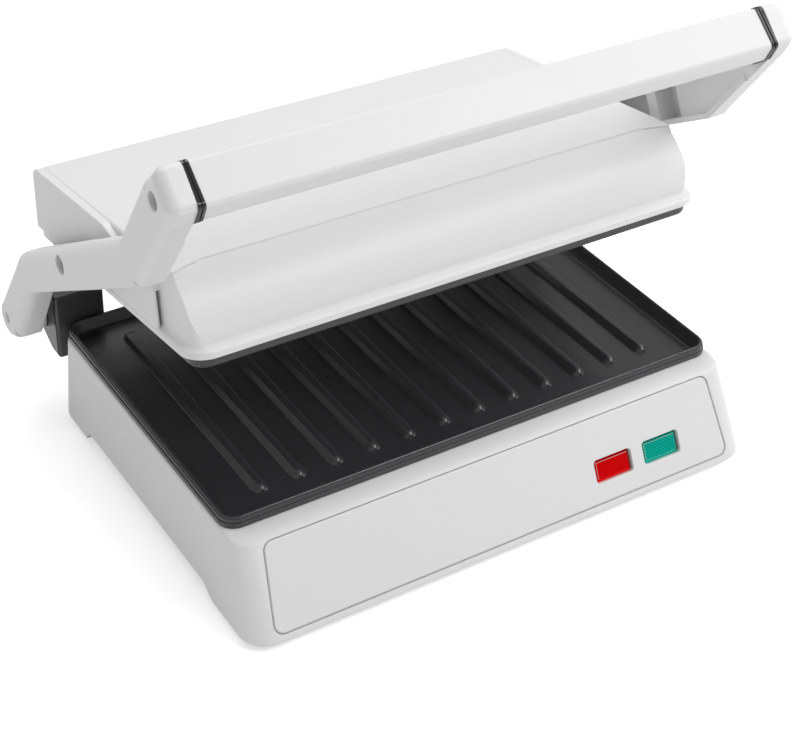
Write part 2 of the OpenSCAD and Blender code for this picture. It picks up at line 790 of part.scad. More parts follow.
// The bar between the arms, chamfered on its lower front
module grip_bar() {
    color("whitesmoke") open_arms() difference() {
        along_x(-grip_half, grip_half) grip_section(0);
        // hollow, with a solid end for each screw
        along_x(-grip_half - over, grip_half + over) difference() {
            offset(delta = -arm_wall) grip_section(0);
            translate(grip_at) circle(screw_r + 2);
            translate([grip_at[0] - 20, grip_at[1] - 0.8]) square([40, 1.6]);
        }
        for (side = [0, 1]) mirror([side, 0, 0]) translate([0, grip_at[0], grip_at[1]])
            rod_x(screw_r + seat, grip_half - 16, grip_half + over);
    }
}

module gasket() {
    color("dimgray") open_arms() difference() {
        along_x(grip_half, grip_half + gasket_t) grip_section(0.35);
        translate([0, grip_at[0], grip_at[1]]) rod_x(screw_r + 0.3, grip_half - over, arm_inner_x + 2 * over);
    }
}

module gasket_right() {
    gasket();
}

module gasket_left() {
    on_left() gasket();
}

// The screws that hold the grip, sunk in the arms' outer holes
module grip_screws() {
    color("silver") open_arms() for (side = [0, 1]) mirror([side, 0, 0])
        translate([handle_w / 2 - 5, grip_at[0], grip_at[1]]) rotate([0, -90, 0]) pan_screw(screw_r, 19);
}

// A shouldered pin: its head is sunk in the arm, its shank turns in the lid's boss
module lid_pin() {
    head_t = 2.2;
    x_head = handle_w / 2 - 4.6;
    color("silver") open_arms() translate([0, lid_pivot[0], lid_pivot[1]]) difference() {
        union() {
            rod_x(lid_pin_r, lid_pin_end_x, x_head + 0.5);
            rod_x(lid_pin_r + 0.5, x_head, x_head + head_t);
        }
        translate([x_head + head_t - 0.9, -lid_pin_r, -0.5]) cube([2, 2 * lid_pin_r, 1]);
    }
}

module lid_pin_right() {
    lid_pin();
}

module lid_pin_left() {
    on_left() lid_pin();
}

// ---- lid, drawn level with its pivot at the origin ----

lip_z = -pivot_h;
lip_front = -83;        // front of the lip, measured from the pivot
lip_back = lip_front + lid_d;
lip_mid = (lip_front + lip_back) / 2;
lid_top = lip_z + lid_h;
body_front = lip_front + 4.2;
body_back = lip_back - 1.6;
body_half = lid_w / 2 - 3.2;
cheek_t = 2.6;
cheek_front = body_front + 26;
back_lean = 4;          // how far the back wall leans forward from lip to plateau
lid_corner_r = 7;
lip_corner_r = 11;
lip_in = 5.6;           // width of the lip's underside
crease_y = body_front + bulge_r - 3.2;
lid_boss_r = 8;
lid_boss_in = 6;
lid_pin_end_x = body_half - lid_boss_in + 0.6;
upper_inset = 2.6;      // from the lip's edge to the upper plate's edge
upper_w = lid_w - 2 * upper_inset;
upper_d = lid_d - 2 * upper_inset;

// From the lid's own frame to its place on the open arms
pivot_y = hinge_y + lid_pivot[0] * cos(arm_open) + lid_pivot[1] * sin(arm_open);
pivot_z = hinge_z - lid_pivot[0] * sin(arm_open) + lid_pivot[1] * cos(arm_open);

module place_lid() {
    translate([0, pivot_y, pivot_z]) rotate([-lid_tilt, 0, 0]) children();
}

// Side view of the lid: a bulged front, a flat plateau and a leaning back, drawn in by an inset
module lid_profile(inset) {
    bulge_y = body_front + bulge_r;
    bulge_z = lid_top - 0.5 - bulge_r;
    back_r = 4;
    union() {
        translate([bulge_y, bulge_z]) circle(bulge_r - inset);
        polygon([
            [body_front + inset, lip_z - over], [body_front + inset, bulge_z], [bulge_y, bulge_z],
            [bulge_y, lid_top - inset], [body_back - back_lean - back_r, lid_top - inset],
            [body_back - back_lean - inset, lid_top - back_r],
            [body_back - inset, lip_z + 4], [body_back - inset, lip_z - over]
        ]);
        translate([body_back - back_lean - back_r, lid_top - back_r]) circle(back_r - inset);
    }
}

module lid_form(inset) {
    intersection() {
        along_x(-body_half + inset, body_half - inset) lid_profile(inset);
        translate([0, 0, lip_z - (inset > 0 ? over : 0)]) linear_extrude(2 * lid_h)
            round_rect(2 * (body_half - inset), body_front + inset, body_back - inset, lid_corner_r - inset);
    }
}

// The lip: an upright edge, a slope up to the body and a flat underside
module lip_section() {
    polygon([
        [-lip_in, 0], [-0.5, 0], [0, 0.5], [0, 2.9], [-0.5, 3.5], [-4.2, 5.2], [-lip_in, 5.8]
    ]);
}

// A cheek: the raised side that the arm lies beside
module cheek() {
    along_x(body_half - 1, body_half + cheek_t) polygon([
        [cheek_front, lip_z + 2], [cheek_front, lip_z + 19], [cheek_front + 2.5, lip_z + 21.5],
        [cheek_front + 40, lid_top - 1.6], [cheek_front + 44, lid_top - 0.4],
        [body_back - back_lean - 3, lid_top - 0.4], [body_back - back_lean, lid_top - 2.5],
        [body_back, lip_z + 4], [body_back, lip_z + 2]
    ]);
}

lid_lug_x = upper_w / 2 - 12;
lid_lug_ys = [lip_mid - upper_d / 2 + 18, lip_mid + upper_d / 2 - 18];
upper_over = tray_depth + plate_floor - plate_edge;
lid_lug_z = lip_z + upper_over + 4;

module lid_shell() {
    color("white") place_lid() difference() {
        union() {
            difference() {
                union() {
                    lid_form(0);
                    translate([0, lip_mid, lip_z]) round_ring(lid_w, lid_d, lip_corner_r) lip_section();
                    for (side = [0, 1]) mirror([side, 0, 0]) cheek();
                }
                lid_form(lid_wall);
                // the rebate that the upper plate's tray stands in
                translate([0, 0, lip_z - over]) linear_extrude(upper_over + 0.3 + over)
                    round_rect(upper_w - 2 * ledge_w, lip_mid - upper_d / 2 + ledge_w,
                        lip_mid + upper_d / 2 - ledge_w, plate_corner_r - ledge_w);
            }
            // bosses for the pivot pins, and the lugs that the plate is screwed to
            for (side = [0, 1]) mirror([side, 0, 0]) {
                rod_x(lid_boss_r, body_half - lid_boss_in, arm_inner_x - arm_gap);
                for (y = lid_lug_ys) translate([lid_lug_x - 6, y - 6, lid_lug_z])
                    cube([body_half - lid_lug_x + 5, 12, lug_t]);
            }
        }
        for (side = [0, 1]) mirror([side, 0, 0])
            rod_x(lid_pin_r + pin_clear, body_half - lid_boss_in - over, arm_inner_x);
        // the crease across the front shoulder
        translate([0, crease_y, lid_top]) rotate([0, 90, 0])
            cylinder(r = 1.1, h = 2 * body_half + 20, center = true, $fn = 4);
        for (x = [-lid_lug_x, lid_lug_x], y = lid_lug_ys)
            translate([x, y, lid_lug_z - over]) cylinder(r = screw_r + seat, h = lug_t + 2 * over);
    }
}

upper_boss_len = lid_lug_z - lip_z - upper_over;

// The upper plate hangs upside down, so its floor is above its rim
module flip_down() {
    translate([0, lip_mid, lip_z]) mirror([0, 0, 1]) children();
}

module upper_plate() {
    color("dimgray") place_lid() flip_down()
        grill_plate(upper_w, upper_d, lid_lug_x, [for (y = lid_lug_ys) y - lip_mid], upper_boss_len);
}

module upper_element() {
    color("slategray") place_lid() flip_down() translate([0, 0, -upper_over]) element();
}

module upper_reflector() {
    place_lid() flip_down() translate([0, 0, -upper_over]) reflector();
}

module upper_thermostat() {
    place_lid() flip_down() translate([0, 0, -upper_over]) disc_thermostat();
}

module upper_plate_screws() {
    color("silver") place_lid() for (x = [-lid_lug_x, lid_lug_x], y = lid_lug_ys)
        translate([x, y, lid_lug_z + lug_t]) mirror([0, 0, 1]) pan_screw(screw_r, lug_t + upper_boss_len - 0.5);
}

base_shell();
base_bottom();
front_panel();
red_lens();
green_lens();
lamp_holder();
indicator_lamps();
lower_plate();
lower_element();
lower_reflector();
thermostat();
thermal_fuse();
terminal_block();
cable_gland();
rubber_feet();
base_screws();
lower_plate_screws();
bracket_left();
bracket_right();
bracket_screws();
hinge_pin_left();
hinge_pin_right();
arm_left();
arm_right();
grip_bar();
gasket_left();
gasket_right();
grip_screws();
lid_pin_left();
lid_pin_right();
lid_shell();
upper_plate();
upper_element();
upper_reflector();
upper_thermostat();
upper_plate_screws();
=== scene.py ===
"""Contact grill: moulded covers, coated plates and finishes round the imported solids."""

import math

import bmesh
import bpy
from bpy.props import FloatProperty, FloatVectorProperty, IntProperty, PointerProperty
from mathutils import Matrix, Vector


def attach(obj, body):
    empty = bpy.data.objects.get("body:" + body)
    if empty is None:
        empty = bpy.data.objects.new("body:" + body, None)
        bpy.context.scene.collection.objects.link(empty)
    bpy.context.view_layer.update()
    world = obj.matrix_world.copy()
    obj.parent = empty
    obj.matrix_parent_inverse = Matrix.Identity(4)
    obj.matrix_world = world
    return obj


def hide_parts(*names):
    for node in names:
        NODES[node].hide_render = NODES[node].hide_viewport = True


bl_info = {
    "name": "Contact Grill",
    "version": (1, 0, 0),
    "blender": (4, 5, 0),
    "location": "View3D > Sidebar > Contact Grill",
    "description": "Builds the visible covers, plates and finishes of a compact contact grill",
    "category": "Add Mesh",
}

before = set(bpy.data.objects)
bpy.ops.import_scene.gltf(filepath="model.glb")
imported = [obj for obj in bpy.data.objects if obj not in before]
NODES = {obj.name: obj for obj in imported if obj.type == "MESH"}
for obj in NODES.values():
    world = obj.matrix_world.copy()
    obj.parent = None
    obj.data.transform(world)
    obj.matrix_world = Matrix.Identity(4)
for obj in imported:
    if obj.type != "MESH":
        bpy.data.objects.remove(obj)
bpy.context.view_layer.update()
MM = 0.001
SIDES = ((1.0, "right"), (-1.0, "left"))
WELD, SHARP = 1e-6, 32.0  # metres, degrees

# The frame's own places, in millimetres
HINGE = (99.5, 43.7)
ARM_OPEN = 29.5
PIVOT = (26.939, 113.247)
LID_TILT = 8.5
DECK_Z = 42.0

# The lid, level, with its pivot at (0, 0)
LIP_Z, LID_TOP = -15.7, 16.3
LIP_HALF, LIP_FRONT, LIP_BACK, LIP_CORNER = 124.5, -83.0, 73.0, 11.0
BODY_HALF, BODY_FRONT, BODY_BACK, SIDE_FLARE, CORNER_R = 120.9, -78.8, 71.4, 0.7, 4.4
BAND_Z, BULGE_R, BULGE_FOOT = LIP_Z + 8.6, 33.8, math.radians(78.0)
BACK_LEAN, BACK_R, LID_WALL = 4.0, 5.0, 2.5
CREASE_Y, CREASE_TURN, CREASE_BEND = -61.5, 107.0, 4.4
CHEEK_FRONT, CHEEK_OUT, CHEEK_T, CHEEK_SLOT, CHEEK_RISE = -52.8, 124.2, 1.3, 7.0, 20.0
BOSS_SECTION = ((6.4, 114.3), (6.4, 128.4), (6.25, 128.75), (5.9, 128.9))
CREASE_FALL = ((-60.0, 0.0), (-0.5, 0.0), (-0.2, 0.08), (0.3, 1.0), (0.8, 1.0), (1.3, 0.2), (4.0, 0.0),
               (60.0, 0.0))
FRONT_EDGE, TOP_EDGE, BACK_EDGE, SHOULDER, LID_FOOT = 0.9, 1.5, 3.5, 9.0, LIP_Z + 3.0
# The lip: inset and height up its edge, then the share of the way to the wall and height
LIP_SECTION = ((5.6, 0.0), (0.6, 0.0), (0.18, 0.18), (0.0, 0.6), (0.0, 2.2), (0.15, 2.75), (0.55, 3.2),
               (1.0, 3.4))
LIP_HOLLOW = ((0.35, 3.55), (0.6, 3.75), (0.8, 4.2), (0.93, 4.9), (1.0, 5.9))
LUG_X, LUG_Y = (103.9, 120.4), (-62.4, 52.4)
STATIONS = (0.0, 35.0, 70.0, 95.0, 103.0, *[105.2 + 0.7 * k for k in range(21)])

# The front slope: its lower edge at (y, z), its turn, and the panel and lenses on it
SLOPE_AT, SLOPE_TURN = (-108.5, 2.6), 62.51
PANEL_HALF, PANEL_Y, PANEL_R = (115.92, 112.5), (3.915, 41.915), 4.0
PANEL_T, PANEL_GROOVE, PANEL_EDGE = 1.4, 0.6, 0.6
BASE_HALF, BASE_BACK, FRONT_LEAN, FOOT_Z = (128.0, 124.0), 79.0, 20.5, 2.6
FOOT_R, DECK_R, DECK_EDGE, FRONT_SOFT, BASE_WALL = 12.0, 9.0, 2.0, 3.4, (2.6, 2.9)
TRAY_HALF, GLAND_AT = (121.2, 76.7), (-58.0, 14.0)
SCREWS_X, SCREWS_Z = (-107.3, 107.3, -113.1, 113.1), 34.5
ARCH = ((-74.0, -3.0), (-74.0, -0.2), (-73.2, 1.0), (-66.0, 4.6), (-64.0, 5.0), (44.6, 5.0), (46.0, 4.4),
        (49.6, 0.8), (50.0, -0.2), (50.0, -3.0))
# Lens face attributes for painted light: a painted brightness per face and a painted highlight. Below them:
# the painted brightness of the lower, upper and right borders, and the painted highlight's strength
LENS_PAINTED_LIGHT_KEYS = ("glow", "edge")
LOW_BORDER_PAINTED_LIGHT, HIGH_BORDER_PAINTED_SHADE, RIGHT_BORDER_PAINTED_SHADE, EDGE_PAINTED_HIGHLIGHT = 1.7, 0.7, 0.25, 0.4
LENS_X, LENS_Y, LENS_W, LENS_H, LENS_R = (55.3, 81.7), 17.975, 19.8, 10.4, 1.6
LENSES = (("red", LENS_X[0], False), ("green", LENS_X[1], True))
LENS_FACE, GROOVE_PITCH, GROOVE_DEPTH = -0.9, 1.05, 0.16
LENS_SECTION = ((0.0, -3.5), (0.0, -2.3), (0.1, -2.1), (1.3, -1.05), (1.4, -0.96), (1.55, -0.92))
BRACKET_X = (102.0, 125.6)
BRACKET_WHEELS = [(86.6, 33.6, 6.3), (*HINGE, 8.8), (86.6, 53.7, 6.3), (80.9, 59.0, 1.0), (80.9, 28.4, 1.0)]


# The photograph's camera: its lens and sensor, its axes and its place
CAMERA_LENS, CAMERA_SENSOR = 80.29, 36.0
CAMERA_AXES = ((0.8463, -0.5317, 0.0325), (0.2929, 0.5155, 0.8053), (-0.4449, -0.6720, 0.5920))
CAMERA_AT = (-0.3581, -0.5525, 0.50985)
LIGHTS_AIM = (0.0, 0.0, 0.08)
LIGHTS = (("key_light", 6.4, 0.55, (0.6, -0.75, 1.05)), ("side_light", 4.4, 0.8, (1.05, -0.1, 0.8)),
          ("fill_light", 1.0, 0.7, (-1.0, -0.55, 0.45)), ("back_light", 6.4, 0.9, (0.0, 0.6, 1.2)))
WHITE, SURROUND, FLOOR_GLOW, FLOOR_HALF = (1.0, 1.0, 1.0, 1.0), 0.45, 0.45, 3.0


# ---------------------------------------------------------------- settings


class GrillShape(bpy.types.PropertyGroup):
    """Sizes of the visible pieces."""

    rib_count: IntProperty(
        name="Ribs", description="Ribs across each plate", default=12, min=8, max=13)
    rib_pitch: FloatProperty(
        name="Rib Pitch", description="Distance from rib to rib", default=0.0178,
        min=0.016, max=0.0184, unit="LENGTH")
    crease_depth: FloatProperty(
        name="Crease Depth", description="Depth of the crease across the lid", default=0.0012,
        min=0.0, max=0.002, unit="LENGTH")


def tint(label, about, value):
    return FloatVectorProperty(name=label, description=about, subtype="COLOR", size=3, default=value,
                               min=0.0, max=1.0)


class GrillFinish(bpy.types.PropertyGroup):
    """Colours of the finishes."""

    shell: tint("Shell", "Colour of the pale moulded covers", (0.745, 0.745, 0.745))
    coating: tint("Non-Stick Coating", "Colour of the coated plates", (0.028, 0.028, 0.03))
    bracket: tint("Brackets", "Colour of the hinge brackets", (0.055, 0.055, 0.057))
    red: tint("Red Lens", "Colour of the left lens", (0.5, 0.0, 0.001))
    green: tint("Green Lens", "Colour of the right lens", (0.0, 0.2, 0.15))


def shape():
    return bpy.context.scene.grill_shape


def finish():
    return bpy.context.scene.grill_finish


# ---------------------------------------------------------------- shader groups and materials


def group_tree(name, inputs, outputs, kind="ShaderNodeTree"):
    """A node group with its sockets; an input has its default value, or its type as a word."""
    tree = bpy.data.node_groups.new(name, kind)
    for label, value in inputs:
        typed = isinstance(value, str)
        socket = tree.interface.new_socket(
            name=label, in_out="INPUT", socket_type=f"NodeSocket{value if typed else 'Float'}")
        if not typed:
            socket.default_value = value
    for label, value in outputs:
        tree.interface.new_socket(name=label, in_out="OUTPUT", socket_type=f"NodeSocket{value}")
    return tree, tree.nodes.new("NodeGroupInput"), tree.nodes.new("NodeGroupOutput")


def feed(tree, node, sockets):
    """Sets a node's inputs to values, or links them to sockets."""
    for key, value in sockets.items():
        if isinstance(value, bpy.types.NodeSocket):
            tree.links.new(value, node.inputs[key])
        else:
            node.inputs[key].default_value = value
    return node


def add(tree, kind, sockets=None, **settings):
    """A node with its settings and its inputs."""
    node = tree.nodes.new(kind)
    for key, value in settings.items():
        setattr(node, key, value)
    return feed(tree, node, sockets or {})


def mix(tree, factor, a, b):
    """The colour between two, by a factor."""
    node = add(tree, "ShaderNodeMix", {"Factor": factor, "A": a, "B": b}, data_type="RGBA")
    return node.outputs["Result"]


def remap(tree, value, low, high, to_low=0.0, to_high=1.0):
    """A value taken from one range to another."""
    return add(tree, "ShaderNodeMapRange", {"Value": value, "From Min": low, "From Max": high,
                                            "To Min": to_low, "To Max": to_high}).outputs["Result"]


def bump(tree, strength, distance, height):
    """A normal from a height."""
    return add(tree, "ShaderNodeBump", {"Strength": strength, "Distance": distance,
                                        "Height": height}).outputs["Normal"]


def grain_group():
    """Fine grain and slow mottling: a mask round 0.5 and a height."""
    name = "Fine Grain"
    if name in bpy.data.node_groups:
        return bpy.data.node_groups[name]
    tree, start, end = group_tree(name, [("Grain Scale", 2500.0), ("Mottle Scale", 30.0), ("Mottle", 0.3)],
                                  [("Mask", "Float"), ("Height", "Float")])
    place = add(tree, "ShaderNodeTexCoord").outputs["Object"]
    fine, slow = [add(tree, "ShaderNodeTexNoise",
                      {"Vector": place, "Scale": start.outputs[scale], "Detail": detail,
                       "Roughness": rough}).outputs["Fac"]
                  for scale, detail, rough in (("Grain Scale", 2.0, 0.6), ("Mottle Scale", 3.0, 0.55))]
    blend = add(tree, "ShaderNodeMix", {"Factor": start.outputs["Mottle"], "A": fine, "B": slow},
                data_type="FLOAT")
    feed(tree, end, {"Mask": blend.outputs["Result"], "Height": fine})
    return tree


def speckle_group():
    """Small scattered flecks, as in a non-stick coating."""
    name = "Coating Flecks"
    if name in bpy.data.node_groups:
        return bpy.data.node_groups[name]
    tree, start, end = group_tree(name, [("Fleck Scale", 900.0), ("Size", 0.2)],
                                  [("Fleck", "Float"), ("Height", "Float")])
    place = add(tree, "ShaderNodeTexCoord").outputs["Object"]
    cells = add(tree, "ShaderNodeTexVoronoi", {"Vector": place, "Scale": start.outputs["Fleck Scale"]},
                feature="F1")
    spot = remap(tree, cells.outputs["Distance"], start.outputs["Size"], 0.0)
    chance = remap(tree, cells.outputs["Color"], 0.62, 0.9)
    fleck = add(tree, "ShaderNodeMath", {0: spot, 1: chance}, operation="MULTIPLY")
    grain = add(tree, "ShaderNodeTexNoise", {"Vector": place, "Scale": 1600.0, "Detail": 3.0})
    feed(tree, end, {"Fleck": fleck.outputs["Value"], "Height": grain.outputs["Fac"]})
    return tree


def made(name):
    """A finish that was built before, if any."""
    return bpy.data.materials.get(f"{name}_finish")


def new_material(name):
    mat = bpy.data.materials.new(f"{name}_finish")
    mat.use_nodes = True
    tree = mat.node_tree
    tree.nodes.clear()
    shader = add(tree, "ShaderNodeBsdfPrincipled")
    out = add(tree, "ShaderNodeOutputMaterial", {"Surface": shader.outputs["BSDF"]}, name="Surface Output")
    shader.location, out.location = (300, 0), (600, 0)
    return mat, tree, shader


def use_group(tree, group, **values):
    node = add(tree, "ShaderNodeGroup", node_tree=group)
    return feed(tree, node, {key.replace("_", " "): value for key, value in values.items()})


def grained(tree, scale, mottle_scale, mottle):
    """The fine grain's mask and height."""
    return use_group(tree, grain_group(), Grain_Scale=scale, Mottle_Scale=mottle_scale, Mottle=mottle).outputs


def shade(colour, factor):
    return (*[min(1.0, c * factor) for c in colour], 1.0)


def moulded(name, colour, rough=(0.3, 0.4), spread=0.03, grain=2600.0, relief=0.02, metallic=0.0, coat=0.0):
    """Moulded plastic, sheet or rubber: a slow change of tone, a fine grain and its bump."""
    if made(name):
        return made(name)
    mat, tree, shader = new_material(name)
    grains = grained(tree, grain, 26.0, 0.6)
    feed(tree, shader, {
        "Base Color": mix(tree, grains["Mask"], shade(colour, 1 - spread), shade(colour, 1 + spread)),
        "Roughness": remap(tree, grains["Mask"], 0.3, 0.7, *rough),
        "Normal": bump(tree, relief, 0.0002, grains["Height"]),
        "Metallic": metallic, "Coat Weight": coat, "Specular IOR Level": 0.5})
    return mat


def coated(name):
    """The plates' dark non-stick coating with pale flecks."""
    if made(name):
        return made(name)
    colour = finish().coating
    mat, tree, shader = new_material(name)
    flecks = use_group(tree, speckle_group(), Fleck_Scale=700.0, Size=0.28).outputs
    grains = grained(tree, 1800.0, 18.0, 0.7)
    body = mix(tree, grains["Mask"], shade(colour, 0.75), shade(colour, 1.35))
    feed(tree, shader, {
        "Base Color": mix(tree, flecks["Fleck"], body, (0.16, 0.16, 0.165, 1.0)),
        "Roughness": remap(tree, grains["Mask"], 0.3, 0.7, 0.3, 0.46),
        "Normal": bump(tree, 0.14, 0.0002, flecks["Height"]),
        "Coat Weight": 0.45, "Coat Roughness": 0.16})
    return mat


def lens_material(tone, diamonds):
    """Tinted lens; the diamond kind has a fine crossed relief. The mesh gives each face its painted light or
    shade and a painted highlight.
    """
    name, colour = f"{tone}_lens", getattr(finish(), tone)
    if made(name):
        return made(name)
    mat, tree, shader = new_material(name)
    place = add(tree, "ShaderNodeTexCoord")
    grains = grained(tree, 900.0, 90.0, 0.8)
    lean = add(tree, "ShaderNodeMapping",
               {"Vector": place.outputs["Object"], "Rotation": (math.radians(-63.0), 0.0, 0.0)})
    waves = []
    for turn in (50.0, -50.0):
        spun = add(tree, "ShaderNodeMapping",
                   {"Vector": lean.outputs["Vector"], "Rotation": (0.0, 0.0, math.radians(turn))})
        wave = add(tree, "ShaderNodeTexWave", {"Vector": spun.outputs["Vector"], "Scale": 250.0},
                   wave_type="BANDS", bands_direction="X")
        waves.append(wave.outputs["Fac"])
    cross = add(tree, "ShaderNodeMath", {0: waves[0], 1: waves[1]}, operation="MAXIMUM")
    pattern = remap(tree, cross.outputs["Value"], 0.5, 1.0, 0.0, 1.0 if diamonds else 0.05)
    body = mix(tree, grains["Mask"], shade(colour, 0.85), shade(colour, 1.15))
    # Lighter along the crossed grooves; only faintly on the lens without diamonds
    grooved_tone = mix(tree, pattern, body, shade(colour, 1.9))
    # Painted light per face, read from the mesh: a brightness that lights or shades each border, and a
    # painted highlight
    glow, edge = [add(tree, "ShaderNodeAttribute", attribute_name=key).outputs["Fac"] for key in LENS_PAINTED_LIGHT_KEYS]
    lit = add(tree, "ShaderNodeVectorMath", {0: grooved_tone, 1: glow}, operation="MULTIPLY").outputs["Vector"]
    # The painted highlight pales the colour along the face's edge; the colour, with its painted light and
    # shade, also glows faintly as a painted glow
    feed(tree, shader, {
        "Base Color": mix(tree, edge, lit, (0.8, 0.8, 0.8, 1.0)),
        "Normal": bump(tree, 0.25 if diamonds else 0.05, 0.0003, pattern),
        "Emission Color": lit, "Emission Strength": 0.1, "Roughness": 0.16, "Specular IOR Level": 0.06})
    return mat


def shell_plastic():
    return moulded("shell_plastic", finish().shell, rough=(0.42, 0.5), spread=0.012, grain=3200.0,
                   relief=0.015, coat=0.04)


def bracket_plastic():
    return moulded("bracket_plastic", finish().bracket, rough=(0.24, 0.34), spread=0.15, relief=0.05,
                   coat=0.3)


def ring_plastic():
    return moulded("ring_plastic", (0.012, 0.012, 0.013), rough=(0.12, 0.18), spread=0.2,
                   relief=0.01, coat=0.5)


# ---------------------------------------------------------------- mesh tools


def link(name, data):
    """A new object in the scene."""
    obj = bpy.data.objects.new(name, data)
    bpy.context.scene.collection.objects.link(obj)
    return obj


def discard(obj):
    """Removes an object and its mesh."""
    mesh = obj.data
    bpy.data.objects.remove(obj)
    bpy.data.meshes.remove(mesh)


def to_object(name, verts, faces, material, place=None, sharp=SHARP):
    """A mesh object from millimetres, placed by a matrix, with smooth faces and sharp corners."""
    mesh = bpy.data.meshes.new(name)
    place = place or Matrix.Identity(4)
    mesh.from_pydata([place @ (Vector(v) * MM) for v in verts], [], faces)
    bm = bmesh.new()
    bm.from_mesh(mesh)
    bmesh.ops.remove_doubles(bm, verts=bm.verts, dist=WELD)
    bmesh.ops.recalc_face_normals(bm, faces=bm.faces)
    bm.to_mesh(mesh)
    bm.free()
    smooth(mesh, sharp)
    if material:
        mesh.materials.append(material)
    return link(name, mesh)


def smooth(mesh, angle):
    mesh.polygons.foreach_set("use_smooth", [True] * len(mesh.polygons))
    mesh.set_sharp_from_angle(angle=math.radians(angle))


class Builder:
    """Collects rings and closes them into skins."""

    def __init__(self):
        self.verts = []
        self.faces = []

    def ring(self, points):
        first = len(self.verts)
        self.verts.extend(points)
        return list(range(first, len(self.verts)))

    def skin(self, a, b):
        n = len(a)
        for i in range(n):
            j = (i + 1) % n
            self.faces.append((a[i], a[j], b[j], b[i]))

    def cap(self, ring):
        self.faces.append(tuple(ring))

    def loft(self, rings):
        """Joins rings one after the other and closes both ends."""
        ids = [self.ring(r) for r in rings]
        for a, b in zip(ids, ids[1:]):
            self.skin(a, b)
        self.cap(ids[0])
        self.cap(ids[-1])

    def make(self, name, material=None, place=None, sharp=SHARP):
        return to_object(name, self.verts, self.faces, material, place, sharp)


def lofted(name, rings, material=None, place=None):
    """A closed object from a row of rings."""
    build = Builder()
    build.loft(rings)
    return build.make(name, material, place)


def leaving(wheels):
    """The angle at which a belt leaves each of its wheels."""
    angles = []
    for (u0, v0, r0), (u1, v1, r1) in zip(wheels, wheels[1:] + wheels[:1]):
        turn = math.acos(max(-1.0, min(1.0, (r0 - r1) / math.hypot(u1 - u0, v1 - v0))))
        angles.append(math.atan2(v1 - v0, u1 - u0) - turn)
    return angles


def belt(wheels, inset=0.0, per_turn=40):
    """Outline pulled round wheels (u, v, radius); a negative radius bends the other way."""
    angles = leaving(wheels)
    out = []
    for i, (u, v, r) in enumerate(wheels):
        a0, a1 = angles[i - 1], angles[i]
        if r > 0:
            while a1 < a0:
                a1 += 2 * math.pi
            while a1 > a0 + 2 * math.pi:
                a1 -= 2 * math.pi
        else:
            while a1 > a0:
                a1 -= 2 * math.pi
            while a1 < a0 - 2 * math.pi:
                a1 += 2 * math.pi
        steps = max(2, int(abs(a1 - a0) / (2 * math.pi) * per_turn) + 1)
        for k in range(steps + 1):
            a = a0 + (a1 - a0) * k / steps
            out.append((u + (r - inset) * math.cos(a), v + (r - inset) * math.sin(a)))
    return out


def box_wheels(w, y0, y1, r):
    """Wheels of a rectangle with round corners, centred across."""
    x = w / 2 - r
    return [(x, y0 + r, r), (x, y1 - r, r), (-x, y1 - r, r), (-x, y0 + r, r)]


def quarter(radius, steps=4):
    """(inset, height) pairs round a convex quarter, from the side up to the face."""
    return [(radius * (1 - math.cos(a)), radius * math.sin(a))
            for a in (math.pi / 2 * k / steps for k in range(steps + 1))]


def between(table, at):
    """Value at a place in a table of (place, value) pairs."""
    for (a, low), (b, high) in zip(table, table[1:]):
        if at <= b:
            return low + (high - low) * (at - a) / (b - a)
    return table[-1][1]


def ease(t):
    """A share from 0 to 1 that starts and ends softly."""
    return t * t * (3.0 - 2.0 * t)


def along_x(points, x):
    return [(x, y, z) for y, z in points]


def level(points, z):
    return [(x, y, z) for x, y in points]


def stack(wheels, pairs, per_turn=40):
    """Level rings of one outline at (inset, height) pairs."""
    return [level(belt(wheels, inset, per_turn), z) for inset, z in pairs]


def tilt_at(point, angle):
    """Local frame with its origin at (y, z) in mm, turned so that its front rises."""
    return (Matrix.Translation((0.0, point[0] * MM, point[1] * MM))
            @ Matrix.Rotation(math.radians(-angle), 4, "X"))


def prism(name, outline, x0, x1):
    """A plain prism along X over an outline in (y, z)."""
    return lofted(name, [along_x(outline, x) for x in (x0, x1)])


def round_prism(build, wheels, inner_x, outer_x, inner_r, outer_r, steps=6):
    """A prism along X whose two faces have rounded edges."""
    side = 1.0 if outer_x > inner_x else -1.0
    build.loft([along_x(belt(wheels, d), inner_x + side * (inner_r - h))
                for d, h in reversed(quarter(inner_r, 3))]
               + [along_x(belt(wheels, d), outer_x - side * (outer_r - h))
                  for d, h in quarter(outer_r, steps)])


def ellipse(centre, a, b, steps=40):
    turns = [2 * math.pi * k / steps for k in range(steps)]
    return [(centre[0] + a * math.cos(t), centre[1] + b * math.sin(t)) for t in turns]


def inside_corner(before, point, after, reach, fillet):
    """Wheel that rounds an inward corner of a belt whose wheels there have the radius reach."""
    a = Vector((point[0] - before[0], point[1] - before[1])).normalized()
    b = Vector((after[0] - point[0], after[1] - point[1])).normalized()
    out = Vector((a.y + b.y, -a.x - b.x)).normalized()
    far = (reach + fillet) / max(0.2, out.dot(Vector((a.y, -a.x))))
    return (point[0] + out.x * far, point[1] + out.y * far, -fillet)


def evaluated(obj, keep_normals=True):
    """Bakes an object's modifiers into a plain mesh, with the normals of its flat faces kept flat."""
    if keep_normals:
        weigh = obj.modifiers.new("flat_faces", "WEIGHTED_NORMAL")
        weigh.keep_sharp = True
    bpy.context.view_layer.update()
    graph = bpy.context.evaluated_depsgraph_get()
    mesh = bpy.data.meshes.new_from_object(obj.evaluated_get(graph), depsgraph=graph)
    old = obj.data
    obj.modifiers.clear()
    obj.data = mesh
    mesh.name = obj.name
    bpy.data.meshes.remove(old)
    return obj


